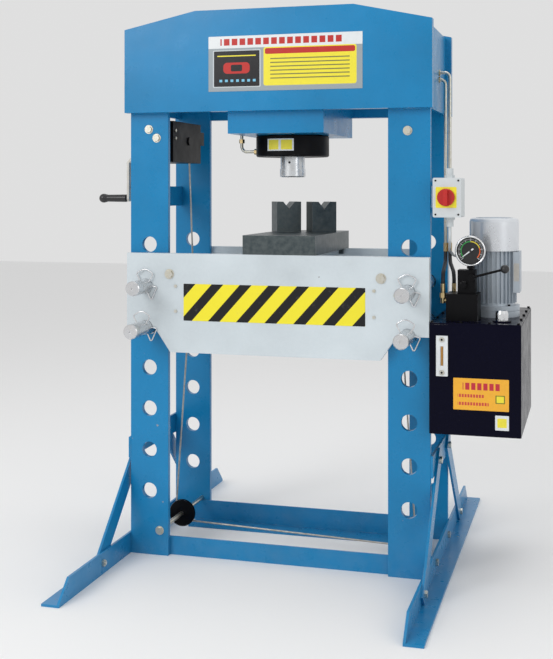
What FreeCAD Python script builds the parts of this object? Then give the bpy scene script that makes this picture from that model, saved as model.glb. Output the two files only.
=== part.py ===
"""Workshop hydraulic press: H-frame, pinned bed, electric power unit and rope winch.

Millimetres. +X right, +Y to the rear, +Z up. The origin is on the floor, under the centre
of the whole machine. Lengths below are worked out in the press's own frame, whose X = 0 is
the ram's axis, and every placement adds the shift between the two.
"""
import FreeCAD, Part
import Sketcher
import math
import os
import re

Vector = FreeCAD.Vector
Rotation = FreeCAD.Rotation

# ---------------------------------------------------------------- driving dimensions

SIZES = {
    # posts: heavy flat bars, one front and one rear on each side
    "post_gap": 770, "post_web": 140, "post_wall": 20, "post_edge": 2,
    "post_height": 1690, "frame_depth": 460,
    "hole_dia": 54, "hole_first": 222.5, "hole_pitch": 142.87, "hole_count": 7,
    # upper beam
    "beam_width": 1070, "beam_bottom": 1536, "beam_top": 1880, "beam_shoulder": 1824,
    "beam_flat": 552, "beam_plate": 32, "end_plate": 12, "end_inset": 20, "end_top": 1820,
    "end_lift": 5,
    # cylinder and its block
    "block_width": 336, "block_bottom": 1461, "block_top": 1700, "block_wall": 20,
    "block_floor": 40, "barrel_dia": 190, "barrel_bore": 150, "barrel_end": 30,
    "gland_dia": 260, "gland_height": 75, "gland_edge": 4, "seat_gap": 0.2,
    "rod_dia": 88, "rod_spigot": 50, "rod_end": 1344, "piston_height": 50, "stroke": 190,
    "piston_gap": 0.05, "headroom": 20, "footroom": 5, "nose_dia": 92, "nose_height": 30,
    "nose_spigot": 40, "nose_spigot_height": 30, "nose_edge": 3, "set_screw": 8,
    "set_screw_height": 22,
    "port_dia": 9, "port_height": 20, "port_across": 60,
    # bed
    "bed_width": 1050, "bed_top": 1051, "bed_depth": 339, "bed_plate": 30, "bed_gap": 3,
    "bed_tab": 104, "bed_tab_depth": 258, "bed_chamfer": 56, "pin_hole": 51,
    "cross_plate": 8, "cross_at": 345, "cross_top": 1020, "cross_bottom": 742,
    "bed_bolt_at": 368, "bed_bolt_height": 980, "bed_bolt_dia": 16, "screw_upper": 939,
    "screw_lower": 853,
    # tooling that rests on the bed
    "slab_left": 105, "slab_right": 148, "slab_depth": 524, "slab_height": 65,
    "lug_size": 16, "lug_depth": 20, "lug_inset": 12,
    "vee_width": 92, "vee_thick": 70, "vee_height": 110, "vee_open": 44, "vee_deep": 26,
    "vee_relief": 4, "vee_left_at": 54, "vee_right_at": 78, "vee_back": 112, "vee_turn": 32,
    # bed pins
    "pin_dia": 50, "pin_edge": 3, "pin_upper_reach": 120, "pin_lower_reach": 138,
    "pin_rear_reach": 12, "pin_mark": 8, "wire_dia": 4.5, "bail_upper_gap": 9,
    "bail_lower_gap": 38, "keeper_gap": 3.2,
    # base: rails between the posts, feet and braces
    "rail_half": 437, "rail_front_height": 64, "rail_rear_height": 78, "rail_leg": 98,
    "rail_wall": 6, "foot_length": 1560, "foot_height": 72, "foot_width": 60, "foot_wall": 8,
    "foot_slant": 70, "brace_width": 62, "brace_thick": 8, "brace_foot_y": 462,
    "brace_foot_z": 37, "brace_top_y": 117, "brace_top_z": 367, "brace_end": 28,
    "foot_bolt_y": 156, "tie_low_bottom": 332, "tie_low_top": 404, "tie_high_bottom": 1209,
    "tie_high_top": 1282, "tie_wall": 8, "bolt_dia": 12, "bolt_across": 21, "bolt_head": 8,
    "bolt_gap": 0.3,
    # winch
    "winch_depth_front": 188, "winch_depth_rear": 98, "winch_bottom": 1367,
    "winch_top": 1511, "winch_right": 383, "winch_left": 505, "winch_wall": 3,
    "winch_boss_half": 40, "crank_y": -28, "crank_z": 1445, "crank_shaft": 18,
    "drum_core": 60, "drum_flange": 90, "drum_flange_thick": 3, "drum_groove": 12,
    "winch_tab": 50, "winch_tab_deep": 37, "winch_tab_bottom": 1435, "winch_tab_top": 1484,
    "winch_cap_dia": 30, "winch_cap": 5,
    "crank_arm_at": 552, "crank_arm_out": 614, "crank_bend_top": 1430,
    "crank_bend_low": 1368, "crank_bend_step": 3.3, "crank_throw": 207,
    "crank_arm_thick": 8, "crank_arm_width": 24, "crank_arm_edge": 0.6,
    "grip_dia": 28, "grip_ball": 33, "grip_reach": 735, "grip_pin": 10, "winch_bolt_a_x": 457,
    "winch_bolt_a_z": 1479.5, "winch_bolt_b_x": 428, "winch_bolt_b_z": 1449,
    "right_bolt_x": 450, "right_bolt_z": 1463,
    # wire ropes and their guide spools
    "rope_dia": 6, "rope_clear": 0.3, "winch_rope_y": 5, "level_rope_y": -5,
    "rope_at": 394, "rope_guide_z": 1368, "spool_at": 417, "spool_left_z": 86,
    "spool_right_z": 60, "spool_core": 44, "spool_flange": 96, "spool_width": 20,
    "spool_groove": 10, "spool_shaft": 15, "running_gap": 0.05,
    # oil tank and lid
    "tank_width": 291, "tank_front": 267, "tank_rear": 290, "tank_bottom": 486,
    "tank_top": 837, "tank_wall": 3, "lid_thick": 6, "lid_inset": 4, "tank_fold": 6,
    "level_x": 549, "level_width": 37, "level_bottom": 673, "level_height": 129,
    "level_thick": 8, "level_slot": 11, "level_slot_height": 62,
    # motor and pump
    "motor_x": 709, "motor_y": 0, "motor_flange_dia": 170, "adapter_height": 22,
    "motor_flange_height": 16, "motor_core": 132, "motor_fin_dia": 150, "motor_fins": 30,
    "motor_fin_thick": 3, "motor_top": 1078, "motor_shaft": 24, "cover_dia": 165,
    "cover_top": 1174, "cover_wall": 2, "cover_edge": 12, "fan_dia": 130, "fan_hub": 44,
    "fan_blades": 7, "fan_height": 40, "pump_dia": 92, "pump_height": 120, "box_width": 90,
    "box_bottom": 925, "box_top": 1062, "box_right": 797,
    # hand valve, manifold, gauge
    "block_left": 571, "block_right": 673, "block_front": 200, "block_rear": 96,
    "manifold_top": 930, "valve_left": 606, "valve_right": 663, "valve_front": 178,
    "valve_rear": 122, "valve_top": 1007, "lever_x": 652, "lever_z": 984,
    "lever_hub": 22, "lever_hub_front": 204, "lever_hub_rear": 190, "lever_rod": 8,
    "lever_length": 112, "lever_rise": 15.5, "ball_dia": 28, "gauge_x": 646,
    "gauge_y": -150, "gauge_z": 1069, "gauge_dia": 100, "gauge_deep": 36, "gauge_stem": 14,
    "gauge_hex": 22, "gauge_dial_deep": 9, "gauge_rim": 5, "needle_length": 38,
    "needle_tail": 12, "needle_width": 5, "needle_thick": 1.2, "needle_turn": 38,
    "filler_x": 750, "filler_y": -190, "filler_flange": 60, "filler_cap": 41,
    "filler_neck": 24, "filler_height": 32,
    # hydraulic lines
    "tube_dia": 11, "hose_dia": 13, "line_left_x": 538, "line_right_x": 553, "line_y": 50,
    "line_top": 1677, "line_bottom": 1085, "fitting_across": 20, "fitting_bore_gap": 0.2,
    "line_step": 24, "tube_bend": 1.7, "hose_bend": 34, "hose_lead": 34,
    "port_pipe_x": 190, "port_pipe_top": 1640, "elbow_dia": 18, "elbow_nut": 16,
    "elbow_reach": 16, "ferrule_length": 30, "port_a_inset": 54, "port_a_drop": 26,
    "port_b_inset": 12, "port_b_drop": 30,
    # switch box
    "switch_left": 537, "switch_width": 91, "switch_front": 267, "switch_depth": 102,
    "switch_bottom": 1181, "switch_height": 127, "switch_wall": 3, "switch_cover": 28,
    "switch_round": 5, "knob_dia": 56, "knob_height": 26, "knob_x": 580, "knob_z": 1245,
    "knob_spindle": 10, "dial_thick": 2, "bracket_wall": 4,
    "cable_gland": 28, "cable_gland_height": 31, "cable_gland_x": 586, "cable_gland_y": -216,
    "lead_dia": 9, "lead_slack": 40, "small_screw": 9,
}

doc = FreeCAD.newDocument("HydraulicPress")
sheet = doc.addObject("Spreadsheet::Sheet", "Dim")
for row, (alias, number) in enumerate(SIZES.items(), start=1):
    sheet.set(f"A{row}", alias)
    sheet.set(f"B{row}", str(number))
    sheet.setAlias(f"B{row}", alias)
doc.recompute()

WORD = re.compile(r"[a-z][a-z_]*")
NODES = []


def sized(text):
    """A size expression with each alias turned into a reference to the sheet."""
    return WORD.sub(lambda m: "Dim." + m.group(0) if m.group(0) in SIZES else m.group(0), str(text))


def value(text):
    """The number that a size expression stands for now."""
    return float(sheet.evalExpression(sized(text)))


def bind(item, prop, text):
    item.setExpression(prop, sized(text))


# ---------------------------------------------------------------- shared positions

POST_X = "(post_gap + post_web) / 2"
POST_OUT = "(post_gap / 2 + post_web)"
DEPTH = "frame_depth / 2"
SHIFT = f"(grip_reach - {POST_OUT} - tank_width) / 2"
BED_BACK = f"({DEPTH} + bed_gap)"
BED_FACE = f"({BED_BACK} + bed_plate)"
TAB_BOTTOM = "(bed_top - bed_tab_depth)"
LID_TOP = "(tank_top + lid_thick)"
GLAND_BOTTOM = "(block_bottom - gland_height)"
BARREL_INSIDE = "(footroom + stroke + piston_height + headroom)"
PISTON_BOTTOM = "(block_bottom + footroom + stroke)"
UPPER_PIN = "(hole_first + 5 * hole_pitch)"
LOWER_PIN = "(hole_first + 4 * hole_pitch)"
SLAB_TOP = "(bed_top + slab_height)"
ROPE_TURN = "(rope_dia / 2 + rope_clear)"
PORT_A_Y = "(-block_rear - port_a_inset)"
PORT_A_Z = "(manifold_top - port_a_drop)"
PORT_B_X = "(block_left + port_b_inset)"
PORT_B_Z = "(manifold_top - port_b_drop)"
FACING = {
    "+Z": Rotation(),
    "-Z": Rotation(Vector(1, 0, 0), 180),
    "-Y": Rotation(Vector(1, 0, 0), 90),
    "+Y": Rotation(Vector(1, 0, 0), -90),
    "+X": Rotation(Vector(0, 1, 0), 90),
    "-X": Rotation(Vector(0, 1, 0), -90),
}


# ---------------------------------------------------------------- building helpers

def node(label, item):
    """Name a finished sub-part, which is what its file is called."""
    item.Label = label
    NODES.append(item)
    return item


def place(item, x="0", y="0", z="0", turn=None):
    """Stand an item at a point of the press's frame, turned by a Rotation."""
    if turn is not None:
        item.Placement = FreeCAD.Placement(Vector(), turn)
    bind(item, "Placement.Base.x", f"{x} + {SHIFT}")
    bind(item, "Placement.Base.y", y)
    bind(item, "Placement.Base.z", z)
    return item


def box(x, y, z, length, width, height):
    """A block whose low corner is at x, y, z."""
    item = doc.addObject("Part::Box", "Block")
    bind(item, "Length", length)
    bind(item, "Width", width)
    bind(item, "Height", height)
    return place(item, x, y, z)


def rod(facing, x, y, z, diameter, length):
    """A cylinder that starts at x, y, z and runs the way it faces."""
    item = doc.addObject("Part::Cylinder", "Rod")
    bind(item, "Radius", f"({diameter}) / 2")
    bind(item, "Height", length)
    return place(item, x, y, z, FACING[facing])


def hexagon(facing, x, y, z, across, height):
    """A six-sided prism, across its flats, that starts at x, y, z."""
    item = doc.addObject("Part::Prism", "Hex")
    item.Polygon = 6
    bind(item, "Circumradius", f"({across}) / sqrt(3)")
    bind(item, "Height", height)
    return place(item, x, y, z, FACING[facing])


def joined(items):
    fuse = doc.addObject("Part::MultiFuse", "Joined")
    fuse.Shapes = items
    fuse.Refine = True
    return fuse


def without(base, tools):
    """The base with every tool cut away."""
    cut = doc.addObject("Part::Cut", "Without")
    cut.Base = base
    cut.Tool = tools[0] if len(tools) == 1 else joined(tools)
    cut.Refine = True
    return cut


def together(items):
    """Separate solids that share one node."""
    group = doc.addObject("Part::Compound", "Set")
    group.Links = items
    return group


def bolt(facing, x, y, z, grip, nut=True):
    """A hex bolt whose head sits on the face at x, y, z; its nut sits grip further in."""
    away = {"-Y": (0, 1, 0), "+X": (-1, 0, 0), "-X": (1, 0, 0)}[facing]
    back = {"-Y": "+Y", "+X": "-X", "-X": "+X"}[facing]
    length = f"({grip} + bolt_head + 4)" if nut else f"({grip})"
    parts = [joined([hexagon(facing, x, y, z, "bolt_across", "bolt_head"),
                     rod(back, x, y, z, "bolt_dia", length)])]
    if nut:
        spot = [f"{c} + {a} * ({grip})" for c, a in zip((x, y, z), away)]
        body = hexagon(back, *spot, "bolt_across", "bolt_head")
        parts.append(without(body, [rod(back, *spot, "bolt_dia + bolt_gap", "bolt_head")]))
    return parts


def body_plane(body, role):
    return next(f for f in body.Origin.OriginFeatures if f.Role == role)


def sketch(body, role, loops):
    """A dimensioned sketch; a loop is a list of corners, or (x, y, diameter) for a circle."""
    flat = body.newObject("Sketcher::SketchObject", "Outline")
    flat.AttachmentSupport = [(body_plane(body, role), "")]
    flat.MapMode = "FlatFace"

    def locate(geometry, point, x, y):
        for kind, text in (("DistanceX", x), ("DistanceY", y)):
            index = flat.addConstraint(
                Sketcher.Constraint(kind, -1, 1, geometry, point, value(text)))
            flat.setExpression(f"Constraints[{index}]", sized(text))

    for loop in loops:
        if isinstance(loop, tuple):
            x, y, diameter = loop
            centre = Vector(value(x), value(y), 0)
            ring = flat.addGeometry(Part.Circle(centre, Vector(0, 0, 1), value(diameter) / 2))
            locate(ring, 3, x, y)
            index = flat.addConstraint(Sketcher.Constraint("Diameter", ring, value(diameter)))
            flat.setExpression(f"Constraints[{index}]", sized(diameter))
            continue
        corners = [Vector(value(x), value(y), 0) for x, y in loop]
        lines = [flat.addGeometry(Part.LineSegment(a, b))
                 for a, b in zip(corners, corners[1:] + corners[:1])]
        for this, after in zip(lines, lines[1:] + lines[:1]):
            flat.addConstraint(Sketcher.Constraint("Coincident", this, 2, after, 1))
        for line, (x, y) in zip(lines, loop):
            locate(line, 1, x, y)
    return flat


def padded(role, loops, thickness, at, turn=None, reverse=None):
    """A flat piece cut to an outline and padded towards +X, +Y or +Z."""
    body = doc.addObject("PartDesign::Body", "Plate")
    pad = body.newObject("PartDesign::Pad", "Pad")
    pad.Profile = sketch(body, role, loops)
    pad.Reversed = role == "XZ_Plane" if reverse is None else reverse
    bind(pad, "Length", thickness)
    place(body, *at, turn)
    doc.recompute()
    return body


def cut_round(body, role, circles, depth, reverse=False):
    """Round holes sunk into a body from one of its planes."""
    pocket = body.newObject("PartDesign::Pocket", "Holes")
    before = body.Shape.Volume
    pocket.Profile = sketch(body, role, circles)
    pocket.Reversed = reverse
    bind(pocket, "Length", depth)
    doc.recompute()
    if body.Shape.Volume > before - 1:
        raise RuntimeError("a hole cuts nothing")


def eased(body, radius, wanted, kind="Fillet"):
    """Round or chamfer the edges of the tip that the test picks."""
    tip = body.Tip
    names = [f"Edge{i}" for i, edge in enumerate(tip.Shape.Edges, start=1) if wanted(edge)]
    ease = body.newObject(f"PartDesign::{kind}", kind)
    ease.Base = (tip, names)
    bind(ease, "Radius" if kind == "Fillet" else "Size", radius)
    doc.recompute()


def turned(axis, profile, at):
    """A turned piece: its half profile, as (radius, along), spun about an axis."""
    body = doc.addObject("PartDesign::Body", "Turning")
    role = "XZ_Plane" if axis == "Z" else "XY_Plane"
    if axis == "X":
        loop = [(along, radius) for radius, along in profile]
    else:
        loop = list(profile)
    outline = sketch(body, role, [loop])
    spin = body.newObject("PartDesign::Revolution", "Turn")
    spin.Profile = outline
    spin.ReferenceAxis = (outline, ["H_Axis" if axis == "X" else "V_Axis"])
    spin.Angle = 360
    place(body, *at)
    doc.recompute()
    return body


def upright(edge):
    """True for a straight edge along Z."""
    ends = [v.Point for v in edge.Vertexes]
    return len(ends) == 2 and (ends[0] - ends[1]).cross(Vector(0, 0, 1)).Length < 1e-6


# ---------------------------------------------------------------- bent round stock

def bend_path(points, bends):
    """Straight runs joined by tangent arcs; bends[i] rounds the corner at points[i + 1]."""
    edges = []
    start = points[0]
    for before, corner, after, bend in zip(points, points[1:], points[2:], bends):
        back = (before - corner).normalize()
        ahead = (after - corner).normalize()
        half = back.getAngle(ahead) / 2
        entry = corner + back * (bend / math.tan(half))
        leave = corner + ahead * (bend / math.tan(half))
        middle = corner + (back + ahead).normalize() * (bend / math.sin(half) - bend)
        if (entry - start).Length > 1e-6:
            edges.append(Part.LineSegment(start, entry).toShape())
        edges.append(Part.Arc(entry, middle, leave).toShape())
        start = leave
    edges.append(Part.LineSegment(start, points[-1]).toShape())
    return edges


def swept(edges, diameter):
    """Round stock carried along a path."""
    path = Part.Wire(edges)
    first = edges[0]
    begin = first.valueAt(first.FirstParameter)
    ring = Part.Circle(begin, first.tangentAt(first.FirstParameter), diameter / 2).toShape()
    solid = path.makePipeShell([Part.Wire([ring])], True, True)
    expected = math.pi * diameter ** 2 / 4 * path.Length
    if abs(solid.Volume / expected - 1) > 0.01:
        raise RuntimeError("a sweep has the wrong volume")
    return solid


def stock(shapes):
    """A node that holds swept shapes, already where they belong."""
    item = doc.addObject("Part::Feature", "Stock")
    item.Shape = shapes[0] if len(shapes) == 1 else Part.makeCompound(shapes)
    item.Placement = FreeCAD.Placement(Vector(value(SHIFT), 0, 0), Rotation())
    return item


def point(x, y, z):
    return Vector(value(x), value(y), value(z))


# ---------------------------------------------------------------- frame

def make_post(label, side, front):
    """An upright flat bar with a row of bed-pin holes, its broad face to the front."""
    half = "post_web / 2"
    outline = [(f"-{half}", "0"), (half, "0"), (half, "post_wall"), (f"-{half}", "post_wall")]
    turn = FACING["+Z"] if front else Rotation(Vector(0, 0, 1), 180)
    y = f"-{DEPTH}" if front else DEPTH
    body = padded("XY_Plane", [outline], "post_height", (f"{side} * {POST_X}", y, "0"), turn)
    eased(body, "post_edge", upright)
    holes = [("0", f"hole_first + {i} * hole_pitch", "hole_dia")
             for i in range(int(value("hole_count")))]
    flip = side if front else -side
    if side < 0:
        holes.append((f"{flip} * (spool_at - {POST_X})", "spool_left_z",
                      "spool_shaft + bolt_gap"))
    if side < 0 and front:
        holes.append((f"-(winch_bolt_a_x - {POST_X})", "winch_bolt_a_z",
                      "bolt_dia + bolt_gap"))
        holes.append((f"-(winch_bolt_b_x - {POST_X})", "winch_bolt_b_z",
                      "bolt_dia + bolt_gap"))
    if side > 0 and front:
        holes.append((f"right_bolt_x - {POST_X}", "right_bolt_z", "bolt_dia + bolt_gap"))
    cut_round(body, "XZ_Plane", holes, "post_wall * 2")
    node(label, body)


def make_beam():
    """Two gabled plates, with an end plate let in between them at each end."""
    half = "beam_width / 2"
    flat = "beam_flat / 2"
    outline = [(f"-{half}", "beam_bottom"), (half, "beam_bottom"), (half, "beam_shoulder"),
               (flat, "beam_top"), (f"-{flat}", "beam_top"), (f"-{half}", "beam_shoulder")]
    node("beam_front_plate", padded("XZ_Plane", [outline], "beam_plate",
                                    ("0", f"-{DEPTH} - beam_plate", "0")))
    node("beam_rear_plate", padded("XZ_Plane", [outline], "beam_plate", ("0", DEPTH, "0")))
    narrow = f"({DEPTH} - post_wall - 2)"
    low = "beam_bottom + end_lift"
    step = "post_height + 2"
    end = [(f"-{narrow}", low), (narrow, low), (narrow, step), (DEPTH, step),
           (DEPTH, "end_top"), (f"-{DEPTH}", "end_top"), (f"-{DEPTH}", step),
           (f"-{narrow}", step)]
    outer = f"({half} - end_inset)"
    lines = [("line_y", z, "tube_dia + 2 * bolt_gap") for z in ("line_top", "line_top - line_step")]
    left = padded("YZ_Plane", [end], "end_plate", (f"-{outer}", "0", "0"))
    right = padded("YZ_Plane", [end] + lines, "end_plate", (f"{outer} - end_plate", "0", "0"))
    node("beam_end_plates", together([left, right]))


def make_ties():
    """Flat spreaders that join the front and rear post on each side, two a side."""
    outline_low = [(f"-{DEPTH}", "tie_low_bottom"), (DEPTH, "tie_low_bottom"),
                   (DEPTH, "tie_low_top"), (f"-{DEPTH}", "tie_low_top")]
    outline_high = [(f"-({DEPTH} - post_wall)", "tie_high_bottom"),
                    (f"{DEPTH} - post_wall", "tie_high_bottom"),
                    (f"{DEPTH} - post_wall", "tie_high_top"),
                    (f"-({DEPTH} - post_wall)", "tie_high_top")]
    holes = [(f"{s} * brace_top_y", "brace_top_z", "bolt_dia + bolt_gap") for s in (-1, 1)]
    plates = []
    for side, low_x, high_x in (
            (-1, f"-{POST_OUT} - tie_wall", f"-{POST_OUT} + post_wall"),
            (1, POST_OUT, f"{POST_OUT} - post_wall - tie_wall")):
        plates.append(padded("YZ_Plane", [outline_low] + holes, "tie_wall",
                             (low_x, "0", "0")))
        plates.append(padded("YZ_Plane", [outline_high], "tie_wall", (high_x, "0", "0")))
    node("spreader_ties", together(plates))


def make_rails():
    """Two angles on the floor, one behind each pair of posts."""
    toe = f"({DEPTH} - post_wall)"
    rails = []
    for sign, height in ((-1, "rail_front_height"), (1, "rail_rear_height")):
        face = f"{sign} * {toe}"
        back = f"{sign} * ({toe} - rail_wall)"
        leg = f"{sign} * ({toe} - rail_leg)"
        section = [(face, "0"), (leg, "0"), (leg, "rail_wall"), (back, "rail_wall"),
                   (back, height), (face, height)]
        rail = padded("YZ_Plane", [section], "2 * rail_half", ("-rail_half", "0", "0"))
        rails.append(without(rail, [rod("+Y", "spool_at", f"-{DEPTH}", "spool_right_z",
                                        "spool_shaft + bolt_gap", "frame_depth")]))
    node("base_rails", together(rails))


def make_foot(side):
    """An angle under one side: one leg up against the posts, the other flat outwards."""
    half = "foot_length / 2"
    inner = f"({half} - foot_slant)"
    web = [(f"-{half}", "0"), (half, "0"), (half, "foot_wall"), (inner, "foot_height"),
           (f"-{inner}", "foot_height"), (f"-{half}", "foot_wall")]
    holes = [(f"{s} * {y}", "brace_foot_z", "bolt_dia + bolt_gap")
             for s in (-1, 1) for y in ("brace_foot_y", "foot_bolt_y")]
    body = padded("YZ_Plane", [web] + holes, "foot_wall", (f"{side} * {POST_OUT}", "0", "0"),
                  reverse=side < 0)
    flange = body.newObject("PartDesign::Pad", "Flange")
    flange.Profile = sketch(body, "YZ_Plane", [[(f"-{half}", "0"), (half, "0"),
                                                (half, "foot_wall"), (f"-{half}", "foot_wall")]])
    flange.Reversed = side < 0
    bind(flange, "Length", "foot_width")
    doc.recompute()
    return body


def make_braces():
    """Flat bars from the feet up to the lower spreaders, bolted at both ends."""
    rise = value("brace_top_z - brace_foot_z")
    run = value("brace_foot_y - brace_top_y")
    length = math.hypot(rise, run)
    slope = math.degrees(math.atan2(rise, run))
    half = "brace_width / 2"
    start = "-brace_end"
    end = "sqrt((brace_top_z - brace_foot_z)^2 + (brace_foot_y - brace_top_y)^2)"
    bar = [(start, f"-{half}"), (f"{end} + brace_end", f"-{half}"),
           (f"{end} + brace_end", half), (start, half)]
    holes = [("0", "0", "bolt_dia + bolt_gap"), (end, "0", "bolt_dia + bolt_gap")]
    bars = []
    for side in (-1, 1):
        for end_sign in (-1, 1):
            tilt = slope if end_sign < 0 else 180 - slope
            x = f"{POST_OUT} + foot_wall" if side > 0 else \
                f"-({POST_OUT} + foot_wall + brace_thick)"
            body = padded("YZ_Plane", [bar] + holes, "brace_thick",
                          (x, f"{end_sign} * brace_foot_y", "brace_foot_z"),
                          Rotation(Vector(1, 0, 0), tilt))
            bars.append(trimmed(body, side))
    if length < value("brace_width"):
        raise RuntimeError("a brace is shorter than it is wide")
    node("braces", together(bars))


def trimmed(bar, side):
    """A brace cut level with the top of the foot's flat leg."""
    x = POST_OUT if side > 0 else f"-{POST_OUT} - foot_width"
    floor = box(x, "-foot_length / 2", "-foot_height", "foot_width", "foot_length",
                "foot_height + foot_wall")
    return without(bar, [floor])


def make_frame_bolts():
    """Brace, foot, post and winch bolts, and the rods that the lower rope spools turn on."""
    parts = []
    for side, facing in ((-1, "-X"), (1, "+X")):
        face = f"{side} * ({POST_OUT} + foot_wall + brace_thick)"
        web = f"{side} * ({POST_OUT} + foot_wall)"
        for end in (-1, 1):
            parts += bolt(facing, face, f"{end} * brace_foot_y", "brace_foot_z",
                          "brace_thick + foot_wall")
            parts += bolt(facing, face, f"{end} * brace_top_y", "brace_top_z",
                          "brace_thick + tie_wall")
            parts += bolt(facing, web, f"{end} * foot_bolt_y", "brace_foot_z", "foot_wall")
    boss = "post_wall + 20"
    parts += bolt("-Y", "-winch_bolt_a_x", f"-{DEPTH}", "winch_bolt_a_z", boss, nut=False)
    parts += bolt("-Y", "-winch_bolt_b_x", f"-{DEPTH}", "winch_bolt_b_z", boss, nut=False)
    parts += bolt("-Y", "right_bolt_x", f"-{DEPTH}", "right_bolt_z", "post_wall")
    parts.append(joined([
        hexagon("-Y", "-spool_at", f"-{DEPTH}", "spool_left_z", "bolt_across", "bolt_head"),
        rod("+Y", "-spool_at", f"-{DEPTH}", "spool_left_z", "spool_shaft", "frame_depth"),
        hexagon("+Y", "-spool_at", DEPTH, "spool_left_z", "bolt_across", "bolt_head")]))
    parts.append(rod("+Y", "spool_at", f"-{DEPTH} + post_wall", "spool_right_z",
                     "spool_shaft", "frame_depth - 2 * post_wall"))
    node("frame_bolts", together(parts))


def make_cylinder_block():
    """A welded box between the beam's plates, with a bored floor that carries the barrel."""
    half = "block_width / 2"
    outer = box(f"-{half}", f"-{DEPTH}", "block_bottom", "block_width", "frame_depth",
                "block_top - block_bottom")
    inner = box(f"-{half} + block_wall", f"-{DEPTH} + block_wall",
                "block_bottom + block_floor", "block_width - 2 * block_wall",
                "frame_depth - 2 * block_wall", "block_top - block_bottom")
    bore = rod("+Z", "0", "0", "block_bottom", "barrel_dia + 2 * seat_gap", "block_floor")
    node("cylinder_block", without(outer, [inner, bore]))


# ---------------------------------------------------------------- cylinder and ram

def make_cylinder():
    """The barrel, closed at its top, and the thick gland ring under it."""
    wall = "barrel_dia / 2"
    bore = "barrel_bore / 2"
    top = BARREL_INSIDE
    node("cylinder_barrel", turned("Z", [
        (bore, "0"), (wall, "0"), (wall, f"{top} + barrel_end"), ("0", f"{top} + barrel_end"),
        ("0", top), (bore, top)], ("0", "0", "block_bottom")))
    hole = "rod_dia / 2 + running_gap"
    out = "gland_dia / 2"
    ring = turned("Z", [
        (hole, "0"), (f"{out} - gland_edge", "0"), (out, "gland_edge"),
        (out, "gland_height - gland_edge"), (f"{out} - gland_edge", "gland_height"),
        (hole, "gland_height")], ("0", "0", GLAND_BOTTOM))
    level = f"{GLAND_BOTTOM} + port_height"
    side_port = rod("+X", f"-{out}", "0", level, "port_dia", f"{out} - port_across")
    rise = rod("+Z", "-port_across", "0", level, "port_dia", "gland_height - port_height")
    node("cylinder_gland", without(ring, [side_port, rise]))


def make_ram():
    """Piston, rod and the pressing nose, which a set screw holds."""
    seat = "rod_spigot / 2"
    out = "barrel_bore / 2 - piston_gap"
    node("piston", turned("Z", [
        (seat, "0"), (out, "0"), (out, "piston_height"), (seat, "piston_height")],
        ("0", "0", PISTON_BOTTOM)))
    shank = "rod_dia / 2"
    length = f"({PISTON_BOTTOM} - rod_end)"
    socket = "nose_spigot / 2"
    deep = "nose_spigot_height"
    spindle = turned("Z", [
        (socket, "0"), (shank, "0"), (shank, length), (seat, length),
        (seat, f"{length} + piston_height"), ("0", f"{length} + piston_height"), ("0", deep),
        (socket, deep)], ("0", "0", "rod_end"))
    screw_hole = rod("+Y", "0", "-rod_dia / 2", "rod_end + set_screw_height", "set_screw",
                     "rod_dia / 2 - nose_spigot / 2")
    node("ram_rod", without(spindle, [screw_hole]))
    wide = "nose_dia / 2"
    node("ram_nose", turned("Z", [
        ("0", "0"), (f"{wide} - nose_edge", "0"), (wide, "nose_edge"), (wide, "nose_height"),
        (socket, "nose_height"), (socket, f"nose_height + {deep}"),
        ("0", f"nose_height + {deep}")], ("0", "0", "rod_end - nose_height")))


# ---------------------------------------------------------------- bed and what lies on it

def make_bed():
    """Two deep plates astride the posts, two cross plates and their fastenings."""
    half = "bed_width / 2"
    tab = f"({half} - bed_tab)"
    waist = f"({tab} - bed_chamfer)"
    bottom = "(bed_top - bed_depth)"
    outline = [(f"-{half}", TAB_BOTTOM), (f"-{tab}", TAB_BOTTOM), (f"-{waist}", bottom),
               (waist, bottom), (tab, TAB_BOTTOM), (half, TAB_BOTTOM), (half, "bed_top"),
               (f"-{half}", "bed_top")]
    holes = [(f"{s} * {POST_X}", z, "pin_hole")
             for s in (-1, 1) for z in (UPPER_PIN, LOWER_PIN)]
    holes += [(f"{s} * bed_bolt_at", "bed_bolt_height", "bed_bolt_dia + bolt_gap")
              for s in (-1, 1)]
    holes += [(f"{s} * cross_at", z, "cross_plate") for s in (-1, 1)
              for z in ("screw_upper", "screw_lower")]
    for label, y in (("bed_front_plate", f"-{BED_FACE}"), ("bed_rear_plate", BED_BACK)):
        plate = padded("XZ_Plane", [outline], "bed_plate", ("0", y, "0"))
        cut_round(plate, "XZ_Plane", holes, "2 * bed_plate")
        node(label, plate)
    node("bed_cross_plates", together([
        box(f"{s} * cross_at - cross_plate / 2", f"-{BED_BACK}", "cross_bottom",
            "cross_plate", f"2 * {BED_BACK}", "cross_top - cross_bottom") for s in (-1, 1)]))
    parts = []
    for side in (-1, 1):
        x = f"{side} * bed_bolt_at"
        parts.append(joined([
            hexagon("-Y", x, f"-{BED_FACE}", "bed_bolt_height", "bolt_across + 3", "bolt_head"),
            rod("+Y", x, f"-{BED_FACE}", "bed_bolt_height", "bed_bolt_dia", f"2 * {BED_FACE}"),
            hexagon("+Y", x, BED_FACE, "bed_bolt_height", "bolt_across + 3", "bolt_head")]))
        for z in ("screw_upper", "screw_lower"):
            for facing, inward, face in (("-Y", "+Y", f"-{BED_FACE}"), ("+Y", "-Y", BED_FACE)):
                at = (f"{side} * cross_at", face, z)
                parts.append(joined([rod(facing, *at, "small_screw + 2", "3"),
                                     rod(inward, *at, "cross_plate - bolt_gap",
                                         "bed_plate")]))
    node("bed_bolts", together(parts))


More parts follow.
